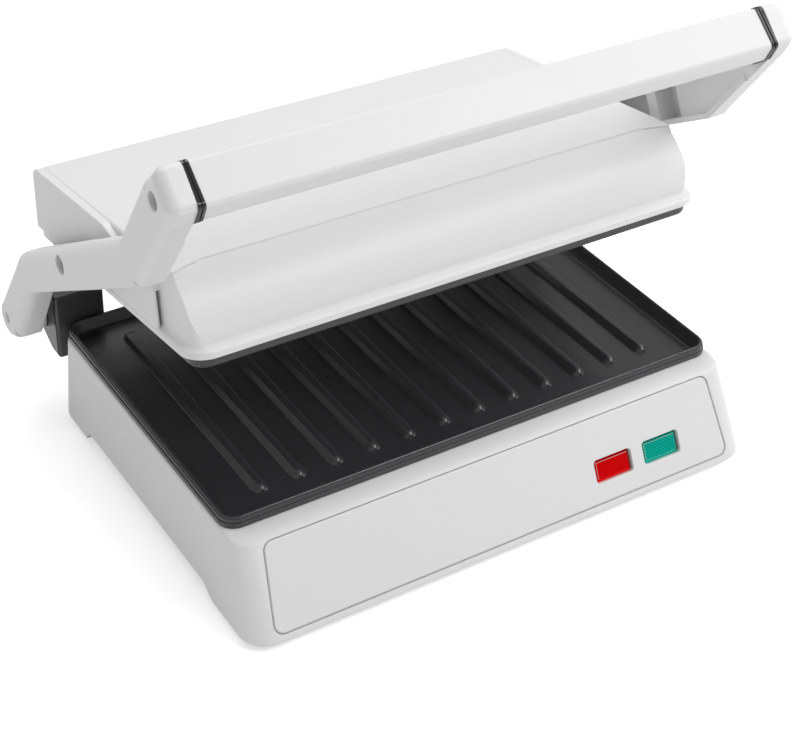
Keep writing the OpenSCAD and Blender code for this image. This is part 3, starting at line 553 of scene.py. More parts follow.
def boolean(obj, others, operation="DIFFERENCE", sharp=SHARP):
    """Cuts or joins closed meshes into an object and removes them."""
    for other in others:
        mod = obj.modifiers.new("cut", "BOOLEAN")
        mod.operation, mod.solver, mod.object = operation, "EXACT", other
    evaluated(obj, keep_normals=False)
    for other in others:
        discard(other)
    bm = bmesh.new()
    bm.from_mesh(obj.data)
    bmesh.ops.remove_doubles(bm, verts=bm.verts, dist=WELD)
    bmesh.ops.dissolve_degenerate(bm, edges=bm.edges, dist=WELD)
    bm.to_mesh(obj.data)
    bm.free()
    smooth(obj.data, sharp)
    return obj


def settle(obj, body, node=None):
    """Bakes a finished piece and hangs it on its body in place of its solid."""
    evaluated(obj)
    if node:
        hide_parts(*([node] if isinstance(node, str) else node))
    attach(obj, body)
    return obj


# ---------------------------------------------------------------- geometry nodes


def row_tree(name):
    """Repeats the object's own mesh along a line and gives every copy one material."""
    if name in bpy.data.node_groups:
        return bpy.data.node_groups[name]
    tree, start, end = group_tree(
        name, [("Geometry", "Geometry"), ("Count", "Int"), ("Start", "Vector"), ("Step", "Vector"),
               ("Material", "Material")], [("Geometry", "Geometry")], "GeometryNodeTree")
    line = add(tree, "GeometryNodeMeshLine",
               {"Count": start.outputs["Count"], "Start Location": start.outputs["Start"],
                "Offset": start.outputs["Step"]}, mode="OFFSET")
    copies = add(tree, "GeometryNodeInstanceOnPoints",
                 {"Points": line.outputs["Mesh"], "Instance": start.outputs["Geometry"]})
    real = add(tree, "GeometryNodeRealizeInstances", {"Geometry": copies.outputs["Instances"]})
    paint = add(tree, "GeometryNodeSetMaterial",
                {"Geometry": real.outputs["Geometry"], "Material": start.outputs["Material"]})
    feed(tree, end, {"Geometry": paint.outputs["Geometry"]})
    return tree


def repeat(obj, count, start, step, material):
    """Turns a single part into a row of it with the row tree."""
    mod = obj.modifiers.new("row", "NODES")
    mod.node_group = row_tree("Row of Parts")
    values = {"Count": count, "Start": tuple(v * MM for v in start), "Step": tuple(v * MM for v in step),
              "Material": material}
    for item in mod.node_group.interface.items_tree:
        if item.item_type == "SOCKET" and item.in_out == "INPUT" and item.name in values:
            mod[item.identifier] = values[item.name]
    return evaluated(obj, keep_normals=False)


def weld(name, objects, material, place=None):
    """One object from several, with one material."""
    bm = bmesh.new()
    for obj in objects:
        bm.from_mesh(obj.data)
        discard(obj)
    mesh = bpy.data.meshes.new(name)
    if place:
        bm.transform(place)
    bm.to_mesh(mesh)
    bm.free()
    for poly in mesh.polygons:
        poly.material_index = 0
    smooth(mesh, SHARP)
    mesh.materials.append(material)
    return link(name, mesh)


# ---------------------------------------------------------------- handle

# Middles of the arm's corners, closed position, hinge at (0, 0), and their radius
ARM_CORNER = 3.2
KNEE_1 = ((-43.9, 26.6), (-43.6, 14.8))
KNEE_2 = ((-172.3, 31.0), (-178.6, 18.6))
TIP = ((-214.8, 52.4), (-224.4, 55.3), (-228.0, 43.2), (-223.0, 39.9))
HEEL = (-6.5, -6.6)
GRIP = [(-223.8, 56.0), (-229.0, 42.6), (-224.3, 39.2), (-217.6, 38.5), (-214.2, 51.5)]
GRIP_AT = (-218.6, 47.4)
LID_AT = (-97.4, 24.8)
ARM_OUT, ARM_IN, ARM_WALL = 141.5, 129.5, 2.4
ARM_EDGE, ARM_INNER_EDGE = 5.0, 0.6
EDGE_SHARE = ((0.0, 0.5), (60.0, 0.6), (75.0, 1.0), (244.0, 1.0), (262.0, 0.3), (275.0, 0.3), (300.0, 0.5),
              (360.0, 0.5))
HUB_R, HUB_X = 9.0, 125.8
SHELF_Y, SHELF_DEPTH, TIP_Y, TIP_SEAT, ARM_END = -157.6, 3.0, -208.0, 1.2, -240.0
# In the arm's pocket: bosses (centre, radius) and ribs (place, thickness)
ARM_BOSSES = (((0.0, 0.0), 7.4), (LID_AT, 6.4))
ARM_RIBS = ((-22.0, 1.6), (-66.0, 1.6), (-146.0, 6.5))
# The ring at the grip's end: its thickness, and (place along it, inset)
RING_T = 3.2
RING_PROFILE = ((0.0, 0.0), (0.1, -0.3), (0.25, -0.42), (1.2, -0.42), (1.35, -0.3), (1.42, 0.05),
                (1.72, 0.05), (1.8, -0.3), (1.95, -0.42), (RING_T - 0.1, -0.42), (RING_T, -0.2))


def handle_place():
    return tilt_at(HINGE, ARM_OPEN)


def arm_wheels():
    """The arm's outline as wheels, from the hinge over the top to the tip and back below."""
    r = ARM_CORNER
    return [(0.0, 0.0, 9.0), (*KNEE_1[0], r), inside_corner(KNEE_1[0], KNEE_2[0], TIP[0], r, 5.0),
            *[(*p, r) for p in TIP], (*KNEE_2[1], r), inside_corner(KNEE_2[1], KNEE_1[1], HEEL, r, 5.0),
            (*HEEL, r)]


def drawn_in(wheels, inset, least=0.3):
    """Outline drawn in by an inset that may be larger than its corner radii."""
    turns = leaving(wheels)
    moved = []
    for i, (u, v, r) in enumerate(wheels):
        if 0.0 < r < inset + least:
            half = ((turns[i] - turns[i - 1]) % (2 * math.pi)) / 2
            step = (inset + least - r) / max(0.3, math.cos(half))
            a = turns[i - 1] + half
            u, v, r = u - step * math.cos(a), v - step * math.sin(a), inset + least
        moved.append((u, v, r))
    return belt(moved, inset)


def arm_ring(inset, x):
    """The arm's outline, drawn in by up to an inset."""
    points = []
    for (y, z), (v, w) in zip(belt(arm_wheels()), drawn_in(arm_wheels(), inset)):
        share = between(EDGE_SHARE, math.degrees(math.atan2(z - w, y - v)) % 360.0) if inset else 0.0
        points.append((x, y + (v - y) * share, z + (w - z) * share))
    return points


def slab(name, across, y, z):
    """A box that fills a range on each axis."""
    return prism(name, [(y[0], z[0]), (y[1], z[0]), (y[1], z[1]), (y[0], z[1])], *across)


def recess(name, centre, radius, depth, out_x):
    """A sunk round hole with a flared mouth, as a cutter."""
    return lofted(name, [along_x(ellipse(centre, r, r), x) for r, x in (
        (radius - 0.5, out_x - depth), (radius, out_x - depth + 0.5), (radius, out_x - 0.55),
        (radius + 0.2, out_x - 0.2), (radius + 0.7, out_x + 0.1), (radius + 0.7, out_x + 1.0))])


# ---------------------------------------------------------------- base


def slope_place():
    """The front slope's frame: x to the right, y up the slope, z out of it."""
    return (Matrix.Translation((0.0, SLOPE_AT[0] * MM, SLOPE_AT[1] * MM))
            @ Matrix.Rotation(math.radians(SLOPE_TURN), 4, "X"))


def panel_wheels():
    (low, high), r = PANEL_HALF, PANEL_R
    return [(low - r, PANEL_Y[0] + r, r), (high - r, PANEL_Y[1] - r, r),
            (r - high, PANEL_Y[1] - r, r), (r - low, PANEL_Y[0] + r, r)]


def lens_wheels(x, grow):
    w, h, r = LENS_W / 2 - LENS_R, LENS_H / 2 - LENS_R, LENS_R + grow
    return [(x + w, LENS_Y - h, r), (x + w, LENS_Y + h, r), (x - w, LENS_Y + h, r), (x - w, LENS_Y - h, r)]


# ---------------------------------------------------------------- operators


class GRILL_OT_stage(bpy.types.Operator):
    """Floor, lights, world and the camera at the photograph's angle"""

    bl_idname = "grill.stage"
    bl_label = "Stage"

    def execute(self, context):
        scene = context.scene
        scene.view_settings.view_transform = "Standard"
        self.camera(scene)
        self.lights(scene)
        self.floor()
        return {"FINISHED"}

    def camera(self, scene):
        data = bpy.data.cameras.new("camera")
        data.lens, data.sensor_width = CAMERA_LENS, CAMERA_SENSOR
        data.clip_start, data.clip_end = 0.05, 20.0
        scene.camera = link("camera", data)
        scene.camera.matrix_world = Matrix((*zip(*CAMERA_AXES, CAMERA_AT), (0.0, 0.0, 0.0, 1.0)))

    def lights(self, scene):
        for name, energy, size, place in LIGHTS:
            data = bpy.data.lights.new(name, "AREA")
            data.energy, data.size = energy, size
            lamp = link(name, data)
            lamp.location = place
            lamp.rotation_mode = "QUATERNION"
            lamp.rotation_quaternion = (Vector(place) - Vector(LIGHTS_AIM)).to_track_quat("Z", "Y")
        world = bpy.data.worlds.new("studio")
        world.use_nodes = True
        tree = world.node_tree
        tree.nodes.clear()
        rays = add(tree, "ShaderNodeLightPath")
        seen = add(tree, "ShaderNodeMath",
                   {0: rays.outputs["Is Camera Ray"], 1: rays.outputs["Is Transmission Ray"]},
                   operation="MAXIMUM")
        soft, full = [add(tree, "ShaderNodeBackground", {"Color": WHITE, "Strength": strength})
                      for strength in (SURROUND, 1.0)]
        look = add(tree, "ShaderNodeMixShader",
                   {0: seen.outputs["Value"], 1: soft.outputs["Background"], 2: full.outputs["Background"]})
        add(tree, "ShaderNodeOutputWorld", {"Surface": look.outputs["Shader"]})
        scene.world = world

    def floor(self):
        mesh = bpy.data.meshes.new("floor")
        s = FLOOR_HALF
        mesh.from_pydata([(-s, -s, 0), (s, -s, 0), (s, s, 0), (-s, s, 0)], [], [(0, 1, 2, 3)])
        mat, tree, shader = new_material("floor_paper")
        grains = grained(tree, 400.0, 4.0, 0.5)
        feed(tree, shader, {"Roughness": 0.9, "Base Color": mix(
            tree, grains["Mask"], (0.93, 0.93, 0.93, 1.0), (0.95, 0.95, 0.95, 1.0))})
        glow = add(tree, "ShaderNodeEmission", {"Color": WHITE, "Strength": FLOOR_GLOW})
        rays = add(tree, "ShaderNodeLightPath")
        both = add(tree, "ShaderNodeAddShader", {0: shader.outputs["BSDF"], 1: glow.outputs["Emission"]})
        seen = add(tree, "ShaderNodeMixShader", {0: rays.outputs["Is Camera Ray"],
                                                 1: shader.outputs["BSDF"], 2: both.outputs["Shader"]})
        feed(tree, tree.nodes["Surface Output"], {"Surface": seen.outputs["Shader"]})
        mesh.materials.append(mat)
        floor = link("floor", mesh)
        floor.location = (0.0, 0.0, -0.0002)


class GRILL_OT_arms(bpy.types.Operator):
    """The two cranked arms with rounded edges, sunk screw holes and a hollow inner side"""

    bl_idname = "grill.arms"
    bl_label = "Arms"

    def execute(self, context):
        for side, label in SIDES:
            arm = self.body(f"arm_cover_{label}")
            if side < 0:
                arm.data.transform(Matrix.Scale(-1.0, 4, (1.0, 0.0, 0.0)))
                arm.data.flip_normals()
            arm.data.transform(handle_place())
            settle(arm, "handle", f"arm_{label}")
        return {"FINISHED"}

    def body(self, name):
        rings = [along_x(belt(arm_wheels(), d), ARM_IN + ARM_INNER_EDGE - h)
                 for d, h in reversed(quarter(ARM_INNER_EDGE, 3))]
        rings += [arm_ring(d, ARM_OUT - ARM_EDGE + h) for d, h in quarter(ARM_EDGE, 10)]
        arm = lofted(name, rings, shell_plastic())
        boolean(arm, [self.hollow(), self.seat(),
                      recess("hole", GRIP_AT, 3.6, 5.0, ARM_OUT), recess("hole", LID_AT, 4.1, 4.6, ARM_OUT),
                      recess("hole", (0.0, 0.0), 2.6, ARM_WALL + 0.4, ARM_OUT)])
        hub = lofted("hub", [along_x(ellipse((0.0, 0.0), HUB_R - d, HUB_R - d), HUB_X + h) for d, h in
                             ((0.5, 0.0), (0.15, 0.15), (0.0, 0.5), (0.0, ARM_IN + 1.5 - HUB_X))])
        return weld(name, [arm, hub], shell_plastic())

    def hollow(self):
        """The pocket in the inner side, with bosses, ribs and a shelf left standing."""
        pocket = prism("pocket", belt(arm_wheels(), ARM_WALL), ARM_IN - 1.0, ARM_OUT - ARM_WALL)
        across = (ARM_IN - 2.0, ARM_OUT)
        stay = [prism("boss", ellipse(centre, radius, radius), *across) for centre, radius in ARM_BOSSES]
        stay += [slab("rib", across, (y, y + thick), (-20.0, 90.0)) for y, thick in ARM_RIBS]
        stay += [slab("shelf", (ARM_IN + SHELF_DEPTH, ARM_OUT), (ARM_END, SHELF_Y), (5.0, 90.0)),
                 slab("tip", (ARM_IN - 3.0, ARM_OUT + 1.0), (ARM_END, TIP_Y), (4.0, 91.0))]
        return boolean(pocket, stay)

    def seat(self):
        """The step that the grip's ring is let into."""
        return slab("seat", (ARM_IN - 3.0, ARM_IN + TIP_SEAT), (ARM_END, TIP_Y), (3.0, 92.0))


class GRILL_OT_rings(bpy.types.Operator):
    """The glossy double rings between the grip and the arms"""

    bl_idname = "grill.rings"
    bl_label = "Grip Rings"

    def execute(self, context):
        wheels = [(y, z, 2.2) for y, z in GRIP]
        inner = ARM_IN + TIP_SEAT - RING_T
        for side, label in SIDES:
            ring = lofted(f"grip_ring_{label}",
                          [along_x(belt(wheels, d), side * (inner + x)) for x, d in RING_PROFILE],
                          ring_plastic(), handle_place())
            settle(ring, "handle", f"gasket_{label}")
        return {"FINISHED"}


class GRILL_OT_lid(bpy.types.Operator):
    """The lid's cover: bulged front, creased shoulder, plateau, cheeks and rounded lip"""

    bl_idname = "grill.lid"
    bl_label = "Lid"

    def execute(self, context):
        build = Builder()
        self.body(build)
        self.lip(build)
        for side, _ in SIDES:
            self.cheek(build, side)
            build.loft([along_x(ellipse((0.0, 0.0), r, r), side * x) for r, x in BOSS_SECTION])
            for y in LUG_Y:
                x0, x1 = sorted(side * x for x in LUG_X)
                corners = [(x0, y - 6.0), (x1, y - 6.0), (x1, y + 6.0), (x0, y + 6.0)]
                build.loft([level(corners, LIP_Z + z) for z in (8.0, 11.0)])
        cover = build.make("lid_cover", shell_plastic(), tilt_at(PIVOT, LID_TILT), sharp=34.0)
        settle(cover, "lid", "lid_shell")
        return {"FINISHED"}

    def rows(self):
        """Side outline from the bulge's foot over the top to the back's foot: y, z and edge rounding."""
        centre = (BODY_FRONT + BULGE_R * math.sin(BULGE_FOOT), BAND_Z - BULGE_R * math.cos(BULGE_FOOT))
        stops = [BODY_FRONT + CORNER_R * (1.0 - math.cos(math.pi / 2 * k / 12)) for k in range(13)]
        stops += [BODY_FRONT + CORNER_R + (CREASE_Y - BODY_FRONT - CORNER_R) * k / 35 for k in range(1, 36)]
        path = [(y, centre[1] + math.sqrt(BULGE_R ** 2 - (y - centre[0]) ** 2), FRONT_EDGE) for y in stops]
        shoulder = path[-1][1]
        for t in (k / 20 for k in range(1, 21)):
            path.append((CREASE_Y + SHOULDER * t, shoulder + (LID_TOP - shoulder) * ease(t),
                         FRONT_EDGE + (TOP_EDGE - FRONT_EDGE) * t))
        path += [(y, LID_TOP, TOP_EDGE) for y in (-44.0, -30.0, -15.0, 0.0, 15.0, 30.0, 45.0, 56.0)]
        back = (BODY_BACK - BACK_LEAN - BACK_R, LID_TOP - BACK_R)
        for k in range(11):
            a = math.radians(90.0 - 80.7 * k / 10)
            path.append((back[0] + BACK_R * math.cos(a), back[1] + BACK_R * math.sin(a), TOP_EDGE + 0.2 * k))
        end = path[-1]
        path += [(end[0] + (BODY_BACK - end[0]) * t, end[1] + (LID_FOOT - end[1]) * t, BACK_EDGE)
                 for t in (0.33, 0.66, 1.0)]
        return path, shoulder

    def half_width(self, y, z, inset):
        """Half width of the body's side wall, drawn in round the front corners."""
        wide = BODY_HALF + SIDE_FLARE * (LID_TOP - z) / (LID_TOP - LIP_Z) - inset
        into = CORNER_R - (y - BODY_FRONT)
        if into > 0.0:
            wide -= CORNER_R - math.sqrt(max(0.0, CORNER_R ** 2 - into ** 2))
        return wide

    def body(self, build):
        path, shoulder = self.rows()
        n = len(path)
        depth = shape().crease_depth / MM

        def row(i, inset):
            y, z, edge = path[i]
            a, b = path[max(0, i - 1)], path[min(n - 1, i + 1)]
            gap = math.dist(a[:2], b[:2])
            out = (-(b[1] - a[1]) / gap, (b[0] - a[0]) / gap)
            half = self.half_width(y, z, inset)
            edge = min(edge, half) * max(0.05, min(1.0, (y - BODY_FRONT) / CORNER_R))
            spots = [(x, 0.0) for x in STATIONS if x < half - edge - 2.0]
            last = spots[-1][0]
            more = len(STATIONS) - len(spots) + 3
            spots += [(last + (half - edge - last) * t, 0.0) for t in (k / more for k in range(1, more))]
            spots += [(half - edge * (1.0 - math.sin(t)), edge * (1.0 - math.cos(t)))
                      for t in (math.pi / 2 * k / 5 for k in range(6))]
            points = []
            for x, draw_in in spots:
                here, up = draw_in + inset, 0.0
                if inset == 0.0 and y < CREASE_Y + SHOULDER:
                    bend = max(0.0, min(1.1, (x - CREASE_TURN) / 12.0))
                    past = y - (CREASE_Y - CREASE_BEND * bend)
                    if y < CREASE_Y:
                        up = max(0.0, shoulder - z) * ease(max(0.0, min(1.0, past / 0.8 + 0.5)))
                    here += depth * between(CREASE_FALL, past)
                points.append((x, y - out[0] * here, z + up - out[1] * here))
            return [(-x, v, w) for x, v, w in reversed(points[1:])] + points

        skins = []
        for inset in (0.0, LID_WALL):
            grid = [build.ring(row(i, inset)) for i in range(n)]
            for a, b in zip(grid, grid[1:]):
                for k in range(len(a) - 1):
                    build.faces.append((a[k], a[k + 1], b[k + 1], b[k]))
            skirts = [[], []]
            for side in (0, -1):
                for i in range(n - 1):
                    x, y, z = build.verts[grid[i][side]]
                    wide = self.half_width(path[i][0], LID_FOOT, inset)
                    skirts[side].append(build.ring([(math.copysign(wide, x), y, LID_FOOT)])[0])
                skirts[side].append(grid[-1][side])
                for i in range(n - 1):
                    quad = (grid[i][side], grid[i + 1][side], skirts[side][i + 1], skirts[side][i])
                    build.faces.append(quad if i < n - 2 else quad[:1] + quad[2:])
            front = [skirts[0][0]]
            front += build.ring([(*build.verts[v][:2], LID_FOOT) for v in grid[0][1:-1]])
            front.append(skirts[-1][0])
            for k in range(len(front) - 1):
                build.faces.append((front[k], front[k + 1], grid[0][k + 1], grid[0][k]))
            skins.append(front + skirts[-1][1:] + grid[-1][-2:0:-1] + skirts[0][:0:-1])
        build.skin(*skins)

    def lip(self, build):
        wide = BODY_HALF + SIDE_FLARE - 0.2
        outer = box_wheels(2 * LIP_HALF, LIP_FRONT, LIP_BACK, LIP_CORNER)
        r, back_r = CORNER_R, 5.0
        wall = [(wide - r, BODY_FRONT + r + 0.12, r), (wide - back_r, BODY_BACK - back_r, back_r),
                (back_r - wide, BODY_BACK - back_r, back_r), (r - wide, BODY_FRONT + r + 0.12, r)]
        rings = stack(outer, ((d, LIP_Z + z) for d, z in LIP_SECTION))
        rim, foot = belt(outer, LIP_SECTION[-1][0]), belt(wall)
        for t, z in LIP_HOLLOW:
            rings.append([(a[0] + (b[0] - a[0]) * t, a[1] + (b[1] - a[1]) * t, LIP_Z + z)
                          for a, b in zip(rim, foot)])
        rings.append(level(belt(wall, 1.2), LIP_Z + LIP_HOLLOW[-1][1]))
        ids = [build.ring(r) for r in rings]
        for a, b in zip(ids, ids[1:] + ids[:1]):
            build.skin(a, b)

    def cheek(self, build, side):
        """A thin outer flange, a cap and a solid set back under them, which leaves a slot at the front."""
        top, inner = LIP_Z + CHEEK_RISE, BODY_HALF - 0.6
        wheels = [(CHEEK_FRONT + 1.0, LID_FOOT, 1.0), (BODY_BACK - 1.0, LID_FOOT, 1.0),
                  (BODY_BACK - BACK_LEAN - BACK_R, LID_TOP - BACK_R, BACK_R - 0.03),
                  (CHEEK_FRONT + 46.0, LID_TOP - 4.4, 4.0), (CHEEK_FRONT + 1.2, top, 1.2)]
        cap = [(CHEEK_FRONT + 1.2, top, 1.2), (CHEEK_FRONT + 10.0, top, 1.2),
               (CHEEK_FRONT + 10.0, top + 1.4, 1.2)]
        solid = [(CHEEK_FRONT + CHEEK_SLOT, z, 1.0) if y < CHEEK_FRONT + 2.0 else (y, z, r - 0.05)
                 for y, z, r in wheels]
        round_prism(build, wheels, side * (CHEEK_OUT - CHEEK_T), side * CHEEK_OUT, 0.2, 0.8, 5)
        round_prism(build, cap, side * inner, side * (CHEEK_OUT - 0.02), 0.1, 0.8, 5)
        round_prism(build, solid, side * inner, side * (CHEEK_OUT - 0.4), 0.1, 0.4, 3)


class GRILL_OT_base(bpy.types.Operator):
    """The flared base: soft deck edge, recess for the front panel, arched sides"""

    bl_idname = "grill.base"
    bl_label = "Base"

    def execute(self, context):
        base = lofted("base_cover",
                      [self.ring(FOOT_Z + z, d, d, FOOT_R) for d, z in ((1.2, 0.0), (0.35, 0.35), (0.0, 1.2))]
                      + [self.ring(DECK_Z - DECK_EDGE + z, d, d * FRONT_SOFT, DECK_R)
                         for d, z in quarter(DECK_EDGE, 8)],
                      shell_plastic())
        opening = box_wheels(2 * TRAY_HALF[0], -TRAY_HALF[1], TRAY_HALF[1], 5.7)
        cuts = [lofted("inside", [self.ring(z, *BASE_WALL, DECK_R) for z in (FOOT_Z - 2.0, DECK_Z - 3.0)]),
                lofted("open_top", [level(belt(opening), z) for z in (DECK_Z - 8.0, DECK_Z + 4.0)]),
                lofted("panel_recess",
                       [level(belt(panel_wheels(), -PANEL_GROOVE - g), z) for g, z in
                        ((0.0, -PANEL_T), (0.0, -0.3), (0.12, -0.08), (0.4, 0.02), (0.4, 6.0))],
                       place=slope_place())]
        for x in LENS_X:
            cuts.append(lofted("lens_hole", [level(belt(lens_wheels(x, 0.1)), z) for z in (-6.0, 1.0)],
                               place=slope_place()))
        cuts.append(prism("arch", [(y, FOOT_Z + z) for y, z in ARCH], -160.0, 160.0))
        for x, z, r in ((*GLAND_AT, 6.0), *((x, SCREWS_Z, 2.0) for x in SCREWS_X)):
            cuts.append(lofted("back_hole", [[(u, y, w) for u, w in ellipse((x, z), r, r, 24)]
                                             for y in (68.0, 90.0)]))
        boolean(base, cuts)
        settle(base, "base", "base_shell")
        return {"FINISHED"}

    def ring(self, z, side, front, r):
        """The base's outline at a height, drawn in at its sides and at its front."""
        t = (z - FOOT_Z) / (DECK_Z - FOOT_Z)
        half = BASE_HALF[0] + (BASE_HALF[1] - BASE_HALF[0]) * t - side
        low, high = SLOPE_AT[0] + FRONT_LEAN * t + front, BASE_BACK - side
        return level(belt(box_wheels(2 * half, low, high, r), 0.0, 64), z)


class GRILL_OT_front(bpy.types.Operator):
    """The inset front panel with its two windows, and the bevelled lenses in them"""

    bl_idname = "grill.front"
    bl_label = "Front Panel"

    def execute(self, context):
        place = slope_place()
        panel = lofted("panel_cover", stack(panel_wheels(), [
            (0.0, -PANEL_T), *((d, h - PANEL_EDGE) for d, h in quarter(PANEL_EDGE, 4))]), shell_plastic())
        boolean(panel, [self.window(x) for x in LENS_X])
        panel.data.transform(place)
        settle(panel, "base", "front_panel")
        for tone, x, diamonds in LENSES:
            name = f"{tone}_lens"
            settle(self.lens(name, x, diamonds, lens_material(tone, diamonds), place), "base", name)
        return {"FINISHED"}

    def window(self, x):
        return lofted("window", [level(belt(lens_wheels(x, g), 0.0, 48), z) for g, z in
                                 ((0.1, -3.0), (0.1, -0.4), (0.22, -0.12), (0.5, 0.02), (0.5, 1.0))])

    def lens(self, name, x, diamonds, material, place):
        """A block with a sloping border; its face carries fine crossed grooves if it has diamonds. Its faces
        carry painted light and shade.
        """
        build = Builder()
        outline = lens_wheels(x, 0.0)
        build.loft(stack(outline, LENS_SECTION, 48))
        nx, ny = (84, 36) if diamonds else (12, 6)
        half_w, half_h = [size / 2 - LENS_SECTION[-1][0] for size in (LENS_W, LENS_H)]
        grid = []
        for j in range(ny + 1):
            line = []
            for i in range(nx + 1):
                u, v = half_w * (2.0 * i / nx - 1.0), half_h * (2.0 * j / ny - 1.0)
                lift = LENS_FACE
                if diamonds and 0 < i < nx and 0 < j < ny:
                    lift -= GROOVE_DEPTH * max(
                        abs(((u * math.cos(t) + v * math.sin(t)) / GROOVE_PITCH) % 1.0 - 0.5) * 2.0
                        for t in (math.radians(48.0), math.radians(-48.0)))
                line.append((x + u, LENS_Y + v, lift))
            grid.append(build.ring(line))
        for a, b in zip(grid, grid[1:]):
            for i in range(nx):
                build.faces.append((a[i], a[i + 1], b[i + 1], b[i]))
        rim = grid[0] + [g[-1] for g in grid[1:-1]] + grid[-1][::-1] + [g[0] for g in grid[-2:0:-1]]
        foot = build.ring([(*build.verts[k][:2], -1.6) for k in rim])
        build.skin(foot, rim)
        build.cap(foot)
        lens = build.make(f"{name}_block", material, sharp=24.0)
        # Painted light and shade on the border faces: lighter below, darker above, darkest on the right
        glow, edge = [lens.data.attributes.new(key, "FLOAT", "FACE") for key in LENS_PAINTED_LIGHT_KEYS]
        for face in lens.data.polygons:
            n, depth = face.normal, face.center.z / MM
            painted_light = 1.0
            if -2.15 < depth < -1.0 and n.z < 0.97:
                side = max(abs(n.x), abs(n.y))
                if n.y < -0.2 and side == -n.y:
                    painted_light = LOW_BORDER_PAINTED_LIGHT
                elif n.y > 0.2 and side == n.y:
                    painted_light = HIGH_BORDER_PAINTED_SHADE
                elif n.x > 0.2:
                    painted_light = RIGHT_BORDER_PAINTED_SHADE
            glow.data[face.index].value = painted_light
            # Painted highlight on the rounded edge between the border and the face on its upper and left
            # sides, and on groove facets that face the same way
            painted_highlight_edge = -1.06 < depth < -0.92 and 0.1 < n.z < 0.999 and n.y > -0.05 and n.x < 0.1
            edge.data[face.index].value = EDGE_PAINTED_HIGHLIGHT if painted_highlight_edge else 0.0
        lens.data.transform(place)
        return lens


class GRILL_OT_brackets(bpy.types.Operator):
    """The black hinge brackets behind the plate, with rounded edges"""

    bl_idname = "grill.brackets"
    bl_label = "Hinge Brackets"

    def execute(self, context):
        for side, label in SIDES:
            build = Builder()
            round_prism(build, BRACKET_WHEELS, side * BRACKET_X[0], side * BRACKET_X[1], 1.2, 1.6, 5)
            piece = build.make(f"hinge_bracket_{label}", bracket_plastic())
            settle(piece, "base", f"bracket_{label}")
        return {"FINISHED"}


# The plates' edge from outside to the tray's floor: inset and height
PLATE_SECTION = ((2.8, -4.0), (2.8, 0.0), (0.25, 0.0), (0.0, 0.25), (0.0, 2.15), (0.2, 2.4), (0.5, 2.45),
                 (0.5, 4.0), (0.7, 4.25), (1.0, 4.3), (1.0, 4.6), (1.12, 4.84), (1.36, 5.0), (1.9, 5.0),
                 (2.2, 4.85), (2.45, 4.5), (3.75, 0.6), (4.15, -0.25), (4.9, -0.8), (6.0, -1.0))
UPPER_PLATE_Y = -5.0
RIB_ENDS, RIB_NOSE = (16.0, 15.0), 4.6


class GRILL_OT_plates(bpy.types.Operator):
    """The two coated plates: stepped edge, rounded rim, leaning tray wall and tapered ribs"""

    bl_idname = "grill.plates"
    bl_label = "Plates"

    def execute(self, context):
        lower = Matrix.Translation((0.0, 0.0, DECK_Z * MM))
        upper = (tilt_at(PIVOT, LID_TILT) @ Matrix.Translation((0.0, UPPER_PLATE_Y * MM, LIP_Z * MM))
                 @ Matrix.Scale(-1.0, 4, (0.0, 0.0, 1.0)))
        self.plate("lower_grill", (247.0, 158.0), (11.5, 17.0, -10.0), lower, "base", "lower_plate")
        self.plate("upper_grill", (243.8, 150.8), (12.0, 18.0, -8.0), upper, "lid", "upper_plate")
        return {"FINISHED"}

    def plate(self, name, size, stud, place, body, node):
        """One plate: its size, and its studs' insets and lower end."""
        w, d = size
        build = Builder()
        wheels = box_wheels(w, -d / 2, d / 2, 8.0)
        build.loft(stack(wheels, PLATE_SECTION, 56))
        for x in (-1.0, 1.0):
            for y in (-1.0, 1.0):
                circle = ellipse((x * (w / 2 - stud[0]), y * (d / 2 - stud[1])), 4.0, 4.0, 32)
                build.loft([level(circle, z) for z in (stud[2], -3.5)])
        tray = build.make(name)
        count, pitch = shape().rib_count, shape().rib_pitch / MM
        coating = coated("plate_coating")
        first = (-pitch * (count - 1) / 2, -d / 2 + RIB_ENDS[0], -1.0)
        ribs = repeat(self.rib(d - sum(RIB_ENDS)), count, first, (pitch, 0.0, 0.0), coating)
        piece = weld(name, [tray, ribs], coating, place)
        if place.determinant() < 0:
            piece.data.flip_normals()
        settle(piece, body, node)

    def rib(self, length):
        """One rib: a wedge that narrows to the front and ends in a rounded nose at each end."""
        rings = []
        nose = [(RIB_NOSE * (1 - math.cos(a)), math.sin(a)) for a in (math.pi / 2 * k / 6 for k in range(7))]
        spots = nose + [(length * t, 1.0) for t in (0.25, 0.5, 0.75)]
        spots += [(length - back, grow) for back, grow in reversed(nose)]
        for y, grow in spots:
            t = y / length
            foot = 3.5 * (0.25 + 0.75 * grow)
            top = (0.8 + 1.7 * t) * (0.25 + 0.75 * grow)
            high = 2.8 * (0.06 + 0.94 * grow)
            half = [(foot + 0.5, -0.5), (foot + 0.35, 0.0), (foot, 0.18), (foot - 0.25, 0.5),
                    (top + 0.42, high - 0.55), (top + 0.2, high - 0.15), (top - 0.15, high)]
            half = [(x, min(z, high)) for x, z in half]
            rings.append([(x, y, z) for x, z in half] + [(-x, y, z) for x, z in reversed(half)])
        return lofted("rib", rings, coated("plate_coating"))


